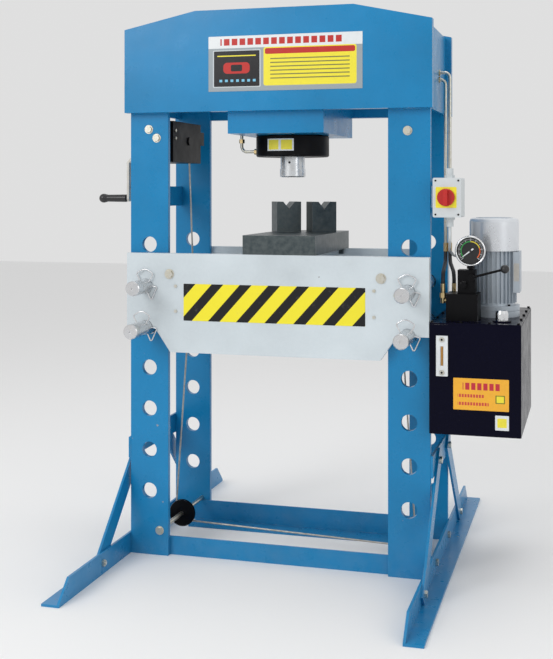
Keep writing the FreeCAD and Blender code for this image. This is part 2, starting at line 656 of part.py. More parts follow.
def make_slab():
    """The arbor plate, with lugs under it that keep it between the bed's plates."""
    plate = box("-slab_left", "-slab_depth / 2", "bed_top", "slab_left + slab_right",
                "slab_depth", "slab_height")
    lugs = [box(x, y, "bed_top - lug_depth", "lug_size", "lug_size", "lug_depth + lug_size")
            for x in ("-slab_left + lug_inset", "slab_right - lug_inset - lug_size")
            for y in (f"-{BED_BACK} + 2", f"{BED_BACK} - 2 - lug_size")]
    node("arbor_plate", joined([plate] + lugs))


def make_vee_blocks():
    """Two blocks with a V across the top, standing askew towards the rear of the plate."""
    half = "vee_width / 2"
    notch = [("-vee_open / 2", "vee_height"), ("0", "vee_height - vee_deep"),
             ("vee_open / 2", "vee_height")]
    outline = [(f"-{half}", "0"), (half, "0"), (half, "vee_height"), notch[2], notch[1],
               notch[0], (f"-{half}", "vee_height")]
    turn = Rotation(Vector(0, 0, 1), value("vee_turn"))
    blocks = []
    for x in ("-vee_left_at", "vee_right_at"):
        block = doc.addObject("PartDesign::Body", "Vee")
        pad = block.newObject("PartDesign::Pad", "Pad")
        pad.Profile = sketch(block, "XZ_Plane", [outline])
        pad.Midplane = True
        bind(pad, "Length", "vee_thick")
        place(block, x, "vee_back", SLAB_TOP, turn)
        doc.recompute()
        relief = block.newObject("PartDesign::Pocket", "Relief")
        relief.Profile = sketch(block, "XZ_Plane", [("0", "vee_height - vee_deep",
                                                     "vee_relief")])
        relief.Midplane = True
        bind(relief, "Length", "2 * vee_thick")
        doc.recompute()
        blocks.append(block)
    node("vee_blocks", together(blocks))


def wire_shapes(gap):
    """The fan-shaped wire bail of a pin, and its narrow keeper loop, in the pin's frame."""
    reach = value("pin_dia / 2")
    thick = value("wire_dia")
    y = value(gap)
    fan = [(-0.62, 0.60), (-1.24, 1.75), (0, 2.5), (1.24, 1.75), (0.62, 0.60)]
    bail = [Vector(x * reach, -y, z * reach) for x, z in fan]
    y = value("keeper_gap")
    loop = [(0.80, 0.10), (1.70, -0.10), (0.85, -2.0), (0.30, -0.82)]
    keeper = [Vector(x * reach, -y, z * reach) for x, z in loop]
    return [swept(bend_path(bail, [thick * 1.6, reach, thick * 1.6]), thick),
            swept(bend_path(keeper, [thick * 0.9, thick * 0.9]), thick)]


def make_pin(label, side, height, reach, gap):
    """A long bed pin with its wire bail and keeper welded on outside the bed."""
    radius = "pin_dia / 2"
    length = f"({reach} + {BED_FACE} + {BED_FACE} + pin_rear_reach)"
    mark = "pin_mark / 2"
    shank = turned("Y", [
        (mark, "0"), (f"{radius} - pin_edge", "0"), (radius, "pin_edge"),
        (radius, f"{length} - pin_edge"), (f"{radius} - pin_edge", length), ("0", length),
        ("0", "3"), (mark, "3")], (f"{side} * {POST_X}", f"-{BED_FACE} - {reach}", height))
    wires = doc.addObject("Part::Feature", "Wires")
    wires.Shape = Part.makeCompound(wire_shapes(gap))
    place(wires, f"{side} * {POST_X}", f"-{BED_FACE}", height)
    node(label, joined([shank, wires]))


# ---------------------------------------------------------------- winch and ropes

def make_winch():
    """A rope winch inside the left posts: box, drum on its crank shaft, arm and grip."""
    wall = "winch_wall"
    length = "(winch_left - winch_right)"
    depth = "(winch_depth_front + winch_depth_rear)"
    tall = "(winch_top - winch_bottom)"
    outer = box("-winch_left", "-winch_depth_front", "winch_bottom", length, depth, tall)
    inner = box(f"-winch_left + {wall}", f"-winch_depth_front + {wall}",
                f"winch_bottom + {wall}", f"{length} - 2 * {wall}", f"{depth} - 2 * {wall}",
                f"{tall} - 2 * {wall}")
    hollow = without(outer, [inner])
    front = f"({DEPTH} - post_wall)"
    pad_x = f"-{POST_X} - winch_boss_half"
    pad = box(pad_x, f"-{front}", "winch_bolt_b_z - 20", "2 * winch_boss_half",
              f"{front} - winch_depth_front", "winch_bolt_a_z - winch_bolt_b_z + 40")
    tapped = [rod("+Y", f"-{x}", f"-{front}", z, "bolt_dia + bolt_gap",
                  f"{front} - winch_depth_front + winch_wall")
              for x, z in (("winch_bolt_a_x", "winch_bolt_a_z"),
                           ("winch_bolt_b_x", "winch_bolt_b_z"))]
    tab = box("-winch_right - winch_tab", "winch_depth_rear", "winch_tab_bottom", "winch_tab",
              "winch_tab_deep", "winch_tab_top - winch_tab_bottom")
    cap = rod("+X", "-winch_right", "crank_y", "crank_z", "winch_cap_dia", "winch_cap")
    bearing = rod("-X", "-winch_right", "crank_y", "crank_z",
                  "crank_shaft + 2 * running_gap", f"{length} + 1")
    exit_slot = box("-rope_at - rope_dia", "winch_rope_y - rope_dia", "winch_bottom",
                    "2 * rope_dia", "2 * rope_dia", wall)
    node("winch_box", without(joined([hollow, pad, tab, cap]),
                              tapped + [bearing, exit_slot]))

    groove = "drum_groove / 2"
    rim = f"{groove} + drum_flange_thick"
    shaft = "crank_shaft / 2"
    core = "drum_core / 2"
    flange = "drum_flange / 2"
    inboard = "rope_at - winch_right - bolt_gap"
    outboard = "crank_arm_at - rope_at"
    drum = [("0", f"-({outboard})"), (shaft, f"-({outboard})"), (shaft, f"-({rim})"),
            (flange, f"-({rim})"), (flange, f"-({groove})"), (core, f"-({groove})"),
            (core, groove), (flange, groove), (flange, f"{groove} + 1.5"),
            (shaft, f"{groove} + 1.5"), (shaft, inboard), ("0", inboard)]
    node("winch_drum", turned("X", drum, ("-rope_at", "crank_y", "crank_z")))

    half = "crank_arm_width / 2"
    top = f"crank_z + {half}"
    foot = f"crank_z - crank_throw - {half}"
    inner = [("-crank_arm_at", top), ("-crank_arm_at", "crank_bend_top"),
             ("-crank_arm_out", "crank_bend_low"), ("-crank_arm_out", foot)]
    outer = [(f"{x} - crank_arm_thick", z) for x, z in (
        ("-crank_arm_out", foot), ("-crank_arm_out", "crank_bend_low + crank_bend_step"),
        ("-crank_arm_at", "crank_bend_top + crank_bend_step"), ("-crank_arm_at", top))]
    arm = padded("XZ_Plane", [inner + outer], "crank_arm_width", ("0", f"crank_y - {half}", "0"))
    eased(arm, "crank_arm_width / 2 - crank_arm_edge",
          lambda e: abs(e.tangentAt(e.FirstParameter).x) > 0.99)
    low_z = "crank_z - crank_throw"
    nut = hexagon("-X", "-crank_arm_at - crank_arm_thick", "crank_y", "crank_z", "bolt_across",
                  "bolt_head")
    face = "-crank_arm_out - crank_arm_thick"
    grip_pin = rod("-X", face, "crank_y", low_z, "grip_pin",
                   "grip_reach - crank_arm_out - crank_arm_thick - 6")
    node("crank_arm", joined([arm, nut, grip_pin]))

    hole = "grip_pin / 2 + running_gap"
    full = "grip_dia / 2"
    ball = "grip_ball / 2"
    end = "(grip_reach - crank_arm_out - crank_arm_thick - 1)"
    pin_end = f"({end} - 4.6)"
    profile = [(hole, "0"), (f"{full} - 4", "0"), (full, "-6"),
               (f"{full} - 1", f"-{end} + grip_ball"), (f"{ball} - 2", f"-{end} + 27"),
               (ball, f"-{end} + 19"), (ball, f"-{end} + 13"), (f"{ball} - 2.5", f"-{end} + 6"),
               (f"{ball} - 7", f"-{end} + 1.5"), (f"{ball} - 11", f"-{end}"), ("0", f"-{end}"),
               ("0", f"-{pin_end}"), (hole, f"-{pin_end}")]
    node("crank_grip", turned("X", profile, (f"{face} - 1", "crank_y", low_z)))


def ring_contact(start, end, start_radius, end_radius):
    """The angle at which a rope leaves one round and meets the next, both turned the
    same way (anticlockwise from the front)."""
    across = end - start
    lean = math.acos((start_radius - end_radius) / across.Length)
    return math.atan2(across.z, across.x) - lean


def on_ring(centre, radius, angle):
    return centre + Vector(math.cos(angle), 0, math.sin(angle)) * radius


def ring_arc(centre, radius, begin, end):
    return Part.Arc(on_ring(centre, radius, begin), on_ring(centre, radius, (begin + end) / 2),
                    on_ring(centre, radius, end)).toShape()


def make_ropes():
    """The winch's rope down to the bed, and the levelling rope round the lower spools."""
    thick = value("rope_dia")
    turn_radius = value(f"bed_bolt_dia / 2 + {ROPE_TURN}")
    spool_radius = value(f"spool_core / 2 + {ROPE_TURN}")
    bolts = [point(f"{s} * bed_bolt_at", "level_rope_y", "bed_bolt_height") for s in (-1, 1)]
    spools = [point("-spool_at", "level_rope_y", "spool_left_z"),
              point("spool_at", "level_rope_y", "spool_right_z")]
    rounds = [(bolts[0], turn_radius), (spools[0], spool_radius),
              (spools[1], spool_radius), (bolts[1], turn_radius)]
    leave = [ring_contact(a, b, p, q) for (a, p), (b, q) in zip(rounds, rounds[1:])]
    leave = [angle + 2 * math.pi if angle < leave[0] - 0.5 else angle for angle in leave]
    quarter = math.pi / 2
    edges = [ring_arc(bolts[0], turn_radius, leave[0] - 2 * quarter, leave[0])]
    for i, angle in enumerate(leave):
        (a, p), (b, q) = rounds[i], rounds[i + 1]
        edges.append(Part.LineSegment(on_ring(a, p, angle), on_ring(b, q, angle)).toShape())
        last = i + 1 == len(leave)
        edges.append(ring_arc(b, q, angle, angle + 2 * quarter if last else leave[i + 1]))
    node("levelling_rope", stock([swept(edges, thick)]))

    drum_radius = value(f"drum_core / 2 + {ROPE_TURN}")
    axis = point("-rope_at", "crank_y", "crank_z")
    down = axis + Vector(0, drum_radius, 0)
    wrap = [Part.Arc(axis + Vector(0, -drum_radius, 0), axis + Vector(0, 0, drum_radius),
                     down).toShape()]
    guide = Vector(down.x, down.y, value("rope_guide_z"))
    eye = Vector(bolts[0].x, down.y, bolts[0].z)
    touch = ring_contact(guide, eye, 0, turn_radius)
    meet = on_ring(eye, turn_radius, touch)
    run = bend_path([down, guide, meet], [value("drum_core * 3")])
    hook = [ring_arc(eye, turn_radius, touch, touch + 2 * quarter)]
    node("winch_rope", stock([swept(wrap + run + hook, thick)]))


def make_spool(label, side, height):
    """A guide spool that turns on its rod, with a deep groove for the rope."""
    bore = "spool_shaft / 2 + running_gap"
    core = "spool_core / 2"
    rim = "spool_flange / 2"
    half = "spool_width / 2"
    groove = "spool_groove / 2"
    profile = [(bore, f"-{half}"), (f"{core}", f"-{half}"), (f"{rim} - 2", f"-{groove} - 2"),
               (rim, f"-{groove} - 1"), (core, f"-{groove} + 1.5"), (core, f"{groove} - 1.5"),
               (rim, f"{groove} + 1"), (f"{rim} - 2", f"{groove} + 2"), (core, half),
               (bore, half)]
    node(label, turned("Y", profile, (f"{side} * spool_at", "level_rope_y", height)))


# ---------------------------------------------------------------- oil tank

def make_tank():
    """An open-topped welded tank hung on the right-hand posts, and its screwed lid."""
    left = POST_OUT
    depth = "(tank_front + tank_rear)"
    tall = "(tank_top - tank_bottom)"
    outline = [("0", "0"), ("tank_width", "0"), ("tank_width", depth), ("0", depth)]
    shell = padded("XY_Plane", [outline], tall, (left, "-tank_front", "tank_bottom"))
    eased(shell, "tank_fold", upright)
    inner = box(f"{left} + tank_wall", "-tank_front + tank_wall", "tank_bottom + tank_wall",
                "tank_width - 2 * tank_wall", f"{depth} - 2 * tank_wall", tall)
    node("oil_tank", without(shell, [inner]))

    lid = box(f"{left} + lid_inset / 4", "-tank_front + lid_inset / 4", "tank_top",
              "tank_width - lid_inset / 2", f"{depth} - lid_inset / 2", "lid_thick")
    neck = rod("+Z", "filler_x", "filler_y", LID_TOP, "filler_flange", "5")
    well = rod("+Z", "filler_x", "filler_y", "tank_top", "filler_neck", "lid_thick + 5")
    drive = rod("+Z", "motor_x", "motor_y", "tank_top", "motor_shaft + 6", "lid_thick")
    node("tank_lid", without(joined([lid, neck]), [well, drive]))


def lid_screws():
    """Screws round the lid's edge, down its two long sides and along its front."""
    spots = []
    edge = "small_screw"
    depth = "(tank_front + tank_rear - 2 * small_screw)"
    right = f"({POST_OUT} + tank_width - {edge})"
    left = f"({POST_OUT} + {edge})"
    for i in range(5):
        for x in (left, right):
            spots.append((x, f"-tank_front + {edge} + {i} / 4 * {depth}"))
    for i in (1, 2):
        spots.append((f"{left} + {i} / 3 * ({right} - {left})", f"-tank_front + {edge}"))
    return [rod("+Z", x, y, LID_TOP, "small_screw", "5") for x, y in spots]


def make_power_screws():
    """Lid, level-gauge, motor-flange and switch-cover screw heads."""
    parts = lid_screws()
    for z in ("level_bottom + 12", "level_bottom + level_height - 12"):
        parts.append(rod("-Y", "level_x + level_width / 2", "-tank_front - level_thick", z,
                         "small_screw", "3"))
    ring = "(motor_flange_dia / 2 - small_screw)"
    flange_top = f"{LID_TOP} + adapter_height + motor_flange_height"
    for sx in (-1, 1):
        for sy in (-1, 1):
            parts.append(rod("+Z", f"motor_x + {sx} * {ring} * sqrt(0.5)",
                             f"motor_y + {sy} * {ring} * sqrt(0.5)", flange_top,
                             "small_screw", "5"))
    for x in ("switch_left + 9", "switch_left + switch_width - 9"):
        for z in ("switch_bottom + 9", "switch_bottom + switch_height - 9"):
            parts.append(rod("-Y", x, "-switch_front", z, "small_screw - 3", "1.5"))
    node("power_unit_screws", together(parts))


def make_level_gauge():
    """A sight gauge on the tank's front: a plate with a recessed window slot."""
    plate = box("level_x", "-tank_front - level_thick", "level_bottom", "level_width",
                "level_thick", "level_height")
    middle = "(level_bottom + level_height / 2)"
    slot = box("level_x + level_width / 2 - level_slot / 2", "-tank_front - level_thick",
               f"{middle} - level_slot_height / 2", "level_slot", "level_thick / 2",
               "level_slot_height")
    node("level_gauge", without(plate, [slot]))


# ---------------------------------------------------------------- motor and pump

def make_motor():
    """A flange-mounted motor: finned frame, shaft, fan, fan cover and the pump below."""
    bottom = f"({LID_TOP} + adapter_height)"
    top = f"(motor_top - {bottom})"
    hole = "motor_shaft / 2 + running_gap"
    core = "motor_core / 2"
    wide = "motor_flange_dia / 2"
    frame = turned("Z", [
        (hole, f"-adapter_height"), (wide, "-adapter_height"), (wide, "-2"),
        (f"{wide} - 3", "-2"), (f"{wide} - 3", "0"), (wide, "0"),
        (wide, "motor_flange_height"), (f"{core} + 3", "motor_flange_height"),
        (core, "motor_flange_height + 10"), (core, top),
        (hole, top)], ("motor_x", "motor_y", bottom))
    fin_bottom = "(motor_flange_height + 8)"
    fin = frame.newObject("PartDesign::Pad", "Fin")
    half = "motor_fin_thick / 2"
    deep = "(motor_core / 2 - 2)"
    fin.Profile = sketch(frame, "XY_Plane", [[
        (f"-{half}", deep), (half, deep), (half, "motor_fin_dia / 2"),
        (f"-{half}", "motor_fin_dia / 2")]])
    fin.Profile[0].AttachmentOffset = FreeCAD.Placement(
        Vector(0, 0, value(fin_bottom)), Rotation())
    fin.Profile[0].setExpression("AttachmentOffset.Base.z", sized(fin_bottom))
    bind(fin, "Length", f"{top} - {fin_bottom} - 6")
    doc.recompute()
    ring = frame.newObject("PartDesign::PolarPattern", "Fins")
    ring.Originals = [fin]
    ring.Axis = (body_plane(frame, "Z_Axis"), [""])
    ring.Angle = 360
    ring.Occurrences = int(value("motor_fins"))
    frame.Tip = ring
    doc.recompute()
    shell = "motor_fin_dia / 2 + bolt_gap"
    terminal = box("motor_x + motor_core / 2", "motor_y - box_width / 2", "box_bottom",
                   "box_right - motor_x - motor_core / 2", "box_width",
                   "box_top - box_bottom")
    saddle = rod("+Z", "motor_x", "motor_y", "box_bottom", f"2 * ({shell})",
                 "box_top - box_bottom")
    node("motor_frame", frame)
    node("terminal_box", without(terminal, [saddle]))

    shaft = "motor_shaft / 2"
    length = f"(motor_top - {LID_TOP})"
    hub = "fan_hub / 2"
    top_end = f"{length} + fan_height + 6"
    node("motor_shaft", turned("Z", [
        ("0", "-20"), (shaft, "-20"), (shaft, f"{length} + 2"), (f"{shaft} - 2", f"{length} + 2"),
        (f"{shaft} - 2", top_end), ("0", top_end)], ("motor_x", "motor_y", LID_TOP)))
    fan = turned("Z", [(f"{shaft} - 2", "0"), (hub, "0"), (f"{hub} - 4", "fan_height"),
                       (f"{shaft} - 2", "fan_height")], ("motor_x", "motor_y", "motor_top + 4"))
    blade = fan.newObject("PartDesign::Pad", "Blade")
    blade.Profile = sketch(fan, "XY_Plane", [[("-1", f"{hub} - 5"), ("1", f"{hub} - 5"),
                                              ("1", "fan_dia / 2"), ("-1", "fan_dia / 2")]])
    bind(blade, "Length", "fan_height - 6")
    doc.recompute()
    blades = fan.newObject("PartDesign::PolarPattern", "Blades")
    blades.Originals = [blade]
    blades.Axis = (body_plane(fan, "Z_Axis"), [""])
    blades.Angle = 360
    blades.Occurrences = int(value("fan_blades"))
    fan.Tip = blades
    doc.recompute()
    node("motor_fan", fan)

    tall = "(cover_top - motor_top + 14)"
    out = "cover_dia / 2"
    inside = "(cover_dia / 2 - cover_wall)"
    cover = turned("Z", [
        ("motor_fin_dia / 2 + bolt_gap", "0"), (out, "0"), (out, f"{tall} - cover_edge"),
        (f"{out} - cover_edge * 0.3", f"{tall} - cover_edge * 0.3"),
        (f"{out} - cover_edge", tall), ("0", tall), ("0", f"{tall} - cover_wall"),
        (f"{inside} - cover_edge", f"{tall} - cover_wall"), (inside, f"{tall} - cover_edge"),
        (inside, "3"), ("motor_fin_dia / 2 + bolt_gap", "3")],
        ("motor_x", "motor_y", "motor_top - 14"))
    vents = []
    for radius, count in (("cover_dia / 7", 6), ("cover_dia / 4.2", 12),
                          ("cover_dia / 2.9", 18)):
        for i in range(count):
            vents.append((f"{radius} * cos({360 * i / count})",
                          f"{radius} * sin({360 * i / count})", "8"))
    cut_round(cover, "XY_Plane", vents, tall, reverse=True)
    node("fan_cover", cover)

    wide = "pump_dia / 2"
    bore = f"{shaft} + running_gap"
    node("oil_pump", turned("Z", [
        (bore, f"-pump_height * 0.3"), ("0", f"-pump_height * 0.3"), ("0", "-pump_height"),
        (f"{wide} * 0.5", "-pump_height"), (f"{wide} * 0.5", "-pump_height * 0.7"),
        (wide, "-pump_height * 0.7"), (wide, "0"), (bore, "0")],
        ("motor_x", "motor_y", "tank_top")))


# ---------------------------------------------------------------- valve, gauge, cap

def make_valve():
    """The manifold on the lid, the hand valve on it, and the valve's lever and ball."""
    length = "(block_right - block_left)"
    width = "(block_front - block_rear)"
    node("manifold", box("block_left", "-block_front", LID_TOP, length, width,
                         f"manifold_top - {LID_TOP}"))
    valve = box("valve_left", "-valve_front", "manifold_top", "valve_right - valve_left",
                "valve_front - valve_rear", "valve_top - manifold_top")
    plug = hexagon("-Y", "valve_left + 20", "-valve_front", "manifold_top + 30",
                   "fitting_across", "14")
    spindle = rod("-Y", "lever_x", "-valve_front", "lever_z", "lever_rod",
                  "lever_hub_front - valve_front + 2")
    node("hand_valve", joined([valve, plug, spindle]))

    hub = rod("-Y", "lever_x", "-lever_hub_rear", "lever_z", "lever_hub",
              "lever_hub_front - lever_hub_rear")
    bore = rod("-Y", "lever_x", "-lever_hub_rear", "lever_z",
               "lever_rod + 2 * running_gap", "lever_hub_front - lever_hub_rear")
    middle = "-(lever_hub_front + lever_hub_rear) / 2"
    stem = doc.addObject("Part::Cylinder", "Stem")
    bind(stem, "Radius", "lever_rod / 2")
    bind(stem, "Height", "lever_length - ball_dia / 2 + 2 - lever_hub / 2 + 3")
    slant = Rotation(Vector(0, 0, 1), Vector(math.cos(math.radians(value("lever_rise"))), 0,
                                             math.sin(math.radians(value("lever_rise")))))
    out = "(lever_hub / 2 - 3)"
    place(stem, f"lever_x + {out} * cos(lever_rise)", middle,
          f"lever_z + {out} * sin(lever_rise)", slant)
    ball = doc.addObject("Part::Sphere", "Ball")
    bind(ball, "Radius", "ball_dia / 2")
    place(ball, "lever_x + lever_length * cos(lever_rise)", middle,
          "lever_z + lever_length * sin(lever_rise)")
    socket = doc.addObject("Part::Cylinder", "Socket")
    bind(socket, "Radius", "lever_rod / 2")
    bind(socket, "Height", "ball_dia")
    inset = "(lever_length - ball_dia / 2 + 2 - ball_dia)"
    place(socket, f"lever_x + {inset} * cos(lever_rise)", middle,
          f"lever_z + {inset} * sin(lever_rise)", slant)
    node("valve_lever", together([without(joined([hub, stem]), [bore]),
                                  without(ball, [socket])]))


def make_gauge():
    """A round pressure gauge facing the front: case on its stem, and the needle."""
    out = "gauge_dia / 2"
    rim = "(gauge_dia / 2 - gauge_rim)"
    pin = "2"
    deep = "gauge_dial_deep"
    half = "gauge_deep / 2"
    case = turned("Y", [
        ("0", f"-{half} + {deep}"), (rim, f"-{half} + {deep}"), (rim, f"-{half}"),
        (f"{out} - 1", f"-{half}"), (out, f"-{half} + 2"), (out, f"-{half} + 12"),
        (f"{out} - 3", f"-{half} + 13"), (f"{out} - 3", half), ("0", half)],
        ("gauge_x", "gauge_y", "gauge_z"))
    stem = rod("-Z", "gauge_x", "gauge_y", f"gauge_z - {out} + 6", "gauge_stem",
               f"gauge_z - {out} + 6 - valve_top")
    nut = hexagon("-Z", "gauge_x", "gauge_y", "valve_top + 11", "gauge_hex", "8")
    pivot = rod("-Y", "gauge_x", f"gauge_y - {half} + {deep}", "gauge_z", "4", "4.4")
    node("gauge_case", joined([case, stem, nut, pivot]))

    width = "needle_width / 2"
    body = padded("XZ_Plane", [
        [("-needle_length", "0"), (f"-needle_length + 8", f"-{width} * 0.4"),
         ("0", f"-{width}"), ("needle_tail", f"-{width}"), ("needle_tail", width),
         ("0", width), ("-needle_length + 8", f"{width} * 0.4")], ("0", "0", "4.2")],
        "needle_thick", ("gauge_x", f"gauge_y - {half} + {deep} - 3 - needle_thick", "gauge_z"),
        Rotation(Vector(0, 1, 0), -value("needle_turn")))
    node("gauge_needle", body)


def make_filler_cap():
    """The knurled breather cap, whose plug hangs in the filler neck."""
    plug = "filler_neck / 2 - bolt_gap"
    cap = "filler_cap / 2"
    node("filler_cap", turned("Z", [
        ("0", "-12"), (plug, "-12"), (plug, "0"), (cap, "0"), (cap, "filler_height * 0.7"),
        (f"{cap} - 4", "filler_height"), ("0", "filler_height")],
        ("filler_x", "filler_y", f"{LID_TOP} + 5")))


# ---------------------------------------------------------------- hydraulic lines

def collar(facing, x, y, z, diameter, length, across="fitting_across"):
    """A hex nut on a tube: it starts at x, y, z and runs the way it faces."""
    nut = hexagon(facing, x, y, z, across, length)
    return without(nut, [rod(facing, x, y, z, f"{diameter} + fitting_bore_gap", length)])


def elbow(facing, x, y, z, reach):
    """A brass elbow out of the manifold with its nut and the ferrule of a hose above."""
    along = {"-X": ("-", ""), "+Y": ("", "+")}[facing]
    cx = f"{x} - {reach}" if along[0] else x
    cy = f"{y} + {reach}" if along[1] else y
    stub = rod(facing, x, y, z, "elbow_dia - 4", reach)
    knee = rod("+Z", cx, cy, f"{z} - elbow_dia / 2", "elbow_dia", "elbow_dia")
    nut = hexagon("+Z", cx, cy, f"{z} + elbow_dia / 2", "fitting_across", "elbow_nut")
    ferrule = rod("+Z", cx, cy, f"{z} + elbow_dia / 2 + elbow_nut", "hose_dia + 2",
                  "ferrule_length")
    return joined([stub, knee, nut, ferrule])


def make_lines():
    """Steel tubes from the cylinder's block down the post, hoses on to the manifold."""
    tube = value("tube_dia")
    bend = tube * value("tube_bend")
    block = value("block_width / 2")
    tubes = []
    hoses = []
    fittings = []
    ends = {"line_left_x": ("block_left - elbow_reach", PORT_A_Y, PORT_A_Z),
            "line_right_x": (PORT_B_X, "-block_rear + elbow_reach", PORT_B_Z)}
    outer_face = "beam_width / 2 - end_inset"
    for along, drop in (("line_left_x", "line_step"), ("line_right_x", "0")):
        high = f"(line_top - {drop})"
        top = point(along, "line_y", high)
        low = point(along, "line_y", "line_bottom")
        tubes.append(swept(bend_path([Vector(block, top.y, top.z), top, low], [bend]), tube))
        fittings.append(collar("+X", "block_width / 2", "line_y", high, "tube_dia", "10",
                               "fitting_across - 2"))
        fittings.append(collar("+X", outer_face, "line_y", high, "tube_dia", "4",
                               "fitting_across - 2"))
        fittings.append(rod("-Z", along, "line_y", "line_bottom", "hose_dia + 2",
                            "ferrule_length"))
        x, y, z = ends[along]
        rise = "elbow_dia / 2 + elbow_nut + ferrule_length"
        first = point(x, y, f"{z} + {rise}")
        last = low - Vector(0, 0, value("ferrule_length"))
        lift = Vector(0, 0, value("hose_lead"))
        route = [first, first + lift, last - lift, last]
        hoses.append(swept(bend_path(route, [value("hose_bend")] * 2), value("hose_dia")))
    fittings.append(elbow("-X", "block_left", PORT_A_Y, PORT_A_Z, "elbow_reach"))
    fittings.append(elbow("+Y", PORT_B_X, "-block_rear", PORT_B_Z, "elbow_reach"))

    port_z = f"({GLAND_BOTTOM} + port_height)"
    down = point("-port_pipe_x", "0", port_z)
    tubes.append(swept(bend_path([point("-block_width / 2", "0", "port_pipe_top"),
                                  point("-port_pipe_x", "0", "port_pipe_top"), down,
                                  point("-gland_dia / 2", "0", port_z)],
                                 [tube * 1.6, bend]), tube))
    fittings.append(collar("-Z", "-port_pipe_x", "0", "block_bottom - 10", "tube_dia", "14",
                           "fitting_across - 2"))
    fittings.append(collar("-X", "-gland_dia / 2", "0", port_z, "tube_dia", "12",
                           "fitting_across - 2"))
    node("oil_tubes", stock(tubes))
    node("oil_hoses", stock(hoses))
    node("oil_fittings", together(fittings))


# ---------------------------------------------------------------- switch box and leads

def make_switch():
    """The switch box on its bracket, its cover with a dial plate, and the knob."""
    depth = "(switch_depth - switch_cover)"
    back_y = "(-switch_front + switch_cover)"
    outline = [("switch_left", "switch_bottom"), ("switch_left + switch_width", "switch_bottom"),
               ("switch_left + switch_width", "switch_bottom + switch_height"),
               ("switch_left", "switch_bottom + switch_height")]

    def along_depth(edge):
        return abs(edge.tangentAt(edge.FirstParameter).y) > 0.99

    case = padded("XZ_Plane", [outline], depth, ("0", back_y, "0"))
    eased(case, "switch_round", along_depth)
    hollow = box("switch_left + switch_wall", back_y, "switch_bottom + switch_wall",
                 "switch_width - 2 * switch_wall", f"{depth} - switch_wall",
                 "switch_height - 2 * switch_wall")
    entries = [rod("+Z", "cable_gland_x", "cable_gland_y", z, "cable_gland - 8", "switch_wall")
               for z in ("switch_bottom", "switch_bottom + switch_height - switch_wall")]
    arm = box(POST_OUT, "-switch_front + switch_depth", "switch_bottom + 12",
              "switch_left - post_gap / 2 - post_web + switch_width - 12", "bracket_wall",
              "switch_height - 24")
    node("switch_case", together([without(case, [hollow] + entries), arm]))

    cover = padded("XZ_Plane", [outline], "switch_cover", ("0", "-switch_front", "0"))
    eased(cover, "switch_round", along_depth)
    scoop = box("switch_left + switch_wall", "-switch_front + switch_wall",
                "switch_bottom + switch_wall", "switch_width - 2 * switch_wall",
                "switch_cover - switch_wall", "switch_height - 2 * switch_wall")
    bore = rod("+Y", "knob_x", "-switch_front", "knob_z", "knob_spindle + 2 * running_gap",
               "switch_wall")
    node("switch_cover", without(cover, [scoop, bore]))
    full = "knob_dia / 2"
    base = "dial_thick + 0.4"
    disc = turned("Y", [
        ("0", "12"), ("knob_spindle / 2", "12"), ("knob_spindle / 2", f"-({base})"),
        (full, f"-({base})"), (full, f"-({base}) - 5"), (f"{full} - 3", f"-({base}) - 8"),
        ("0", f"-({base}) - 8")], ("knob_x", "-switch_front", "knob_z"))
    bar = box("knob_x - 7", f"-switch_front - ({base}) - knob_height", f"knob_z - {full} + 3",
              "14", "knob_height - 8", "knob_dia - 6")
    node("switch_knob", joined([disc, bar]))


def make_glands_and_lead():
    """Cable glands over and under the switch box, and the lead on to the motor."""
    glands = []
    for facing, z in (("+Z", "switch_bottom + switch_height"), ("-Z", "switch_bottom")):
        sign = 1 if facing == "+Z" else -1
        base = hexagon(facing, "cable_gland_x", "cable_gland_y", z, "cable_gland", "9")
        dome = rod(facing, "cable_gland_x", "cable_gland_y", f"{z} + {sign} * 9",
                   "cable_gland - 5", "cable_gland_height - 9")
        bore = rod(facing, "cable_gland_x", "cable_gland_y", z, "lead_dia",
                   "cable_gland_height")
        glands.append(without(joined([base, dome]), [bore]))
    side = rod("-X", "motor_x - motor_fin_dia / 2", "motor_y", "box_top - 20",
               "cable_gland - 8", "18")
    hole = rod("-X", "motor_x - motor_fin_dia / 2", "motor_y", "box_top - 20", "lead_dia",
               "18")
    glands.append(without(side, [hole]))
    node("cable_glands", together(glands))
    start = point("cable_gland_x", "cable_gland_y", "switch_bottom")
    end = point("motor_x - motor_fin_dia / 2", "motor_y", "box_top - 20")
    drop = value("cable_gland_height")
    slack = value("lead_slack")
    route = [start, start - Vector(0, 0, drop + slack),
             Vector(start.x - slack / 4, (start.y * 2 + end.y) / 3, end.z + slack * 0.7),
             Vector(start.x - slack / 4, (start.y + end.y * 3) / 4, end.z + slack * 0.2),
             Vector(end.x - slack * 1.4, end.y, end.z), end]
    bends = [value("lead_dia * 3")] * 4
    node("motor_lead", stock([swept(bend_path(route, bends), value("lead_dia"))]))


# ---------------------------------------------------------------- build and write

def build():
    """Make every sub-part; repeated ones are made by a loop and stay nodes of their own."""
    for depth, front in (("front", True), ("rear", False)):
        make_post(f"post_{depth}_left", -1, front)
        make_post(f"post_{depth}_right", 1, front)
    make_beam()
    make_ties()
    make_rails()
    node("feet", together([make_foot(-1), make_foot(1)]))
    make_braces()
    make_frame_bolts()
    make_cylinder_block()
    make_cylinder()
    make_ram()
    make_bed()
    make_slab()
    make_vee_blocks()
    for side, hand in ((-1, "left"), (1, "right")):
        make_pin(f"bed_pin_upper_{hand}", side, UPPER_PIN, "pin_upper_reach", "bail_upper_gap")
        make_pin(f"bed_pin_lower_{hand}", side, LOWER_PIN, "pin_lower_reach", "bail_lower_gap")
    make_winch()
    make_ropes()
    make_spool("rope_spool_left", -1, "spool_left_z")
    make_spool("rope_spool_right", 1, "spool_right_z")
    make_tank()
    make_power_screws()
    make_level_gauge()
    make_motor()
    make_valve()
    make_gauge()
    make_filler_cap()
    make_lines()
    make_switch()
    make_glands_and_lead()


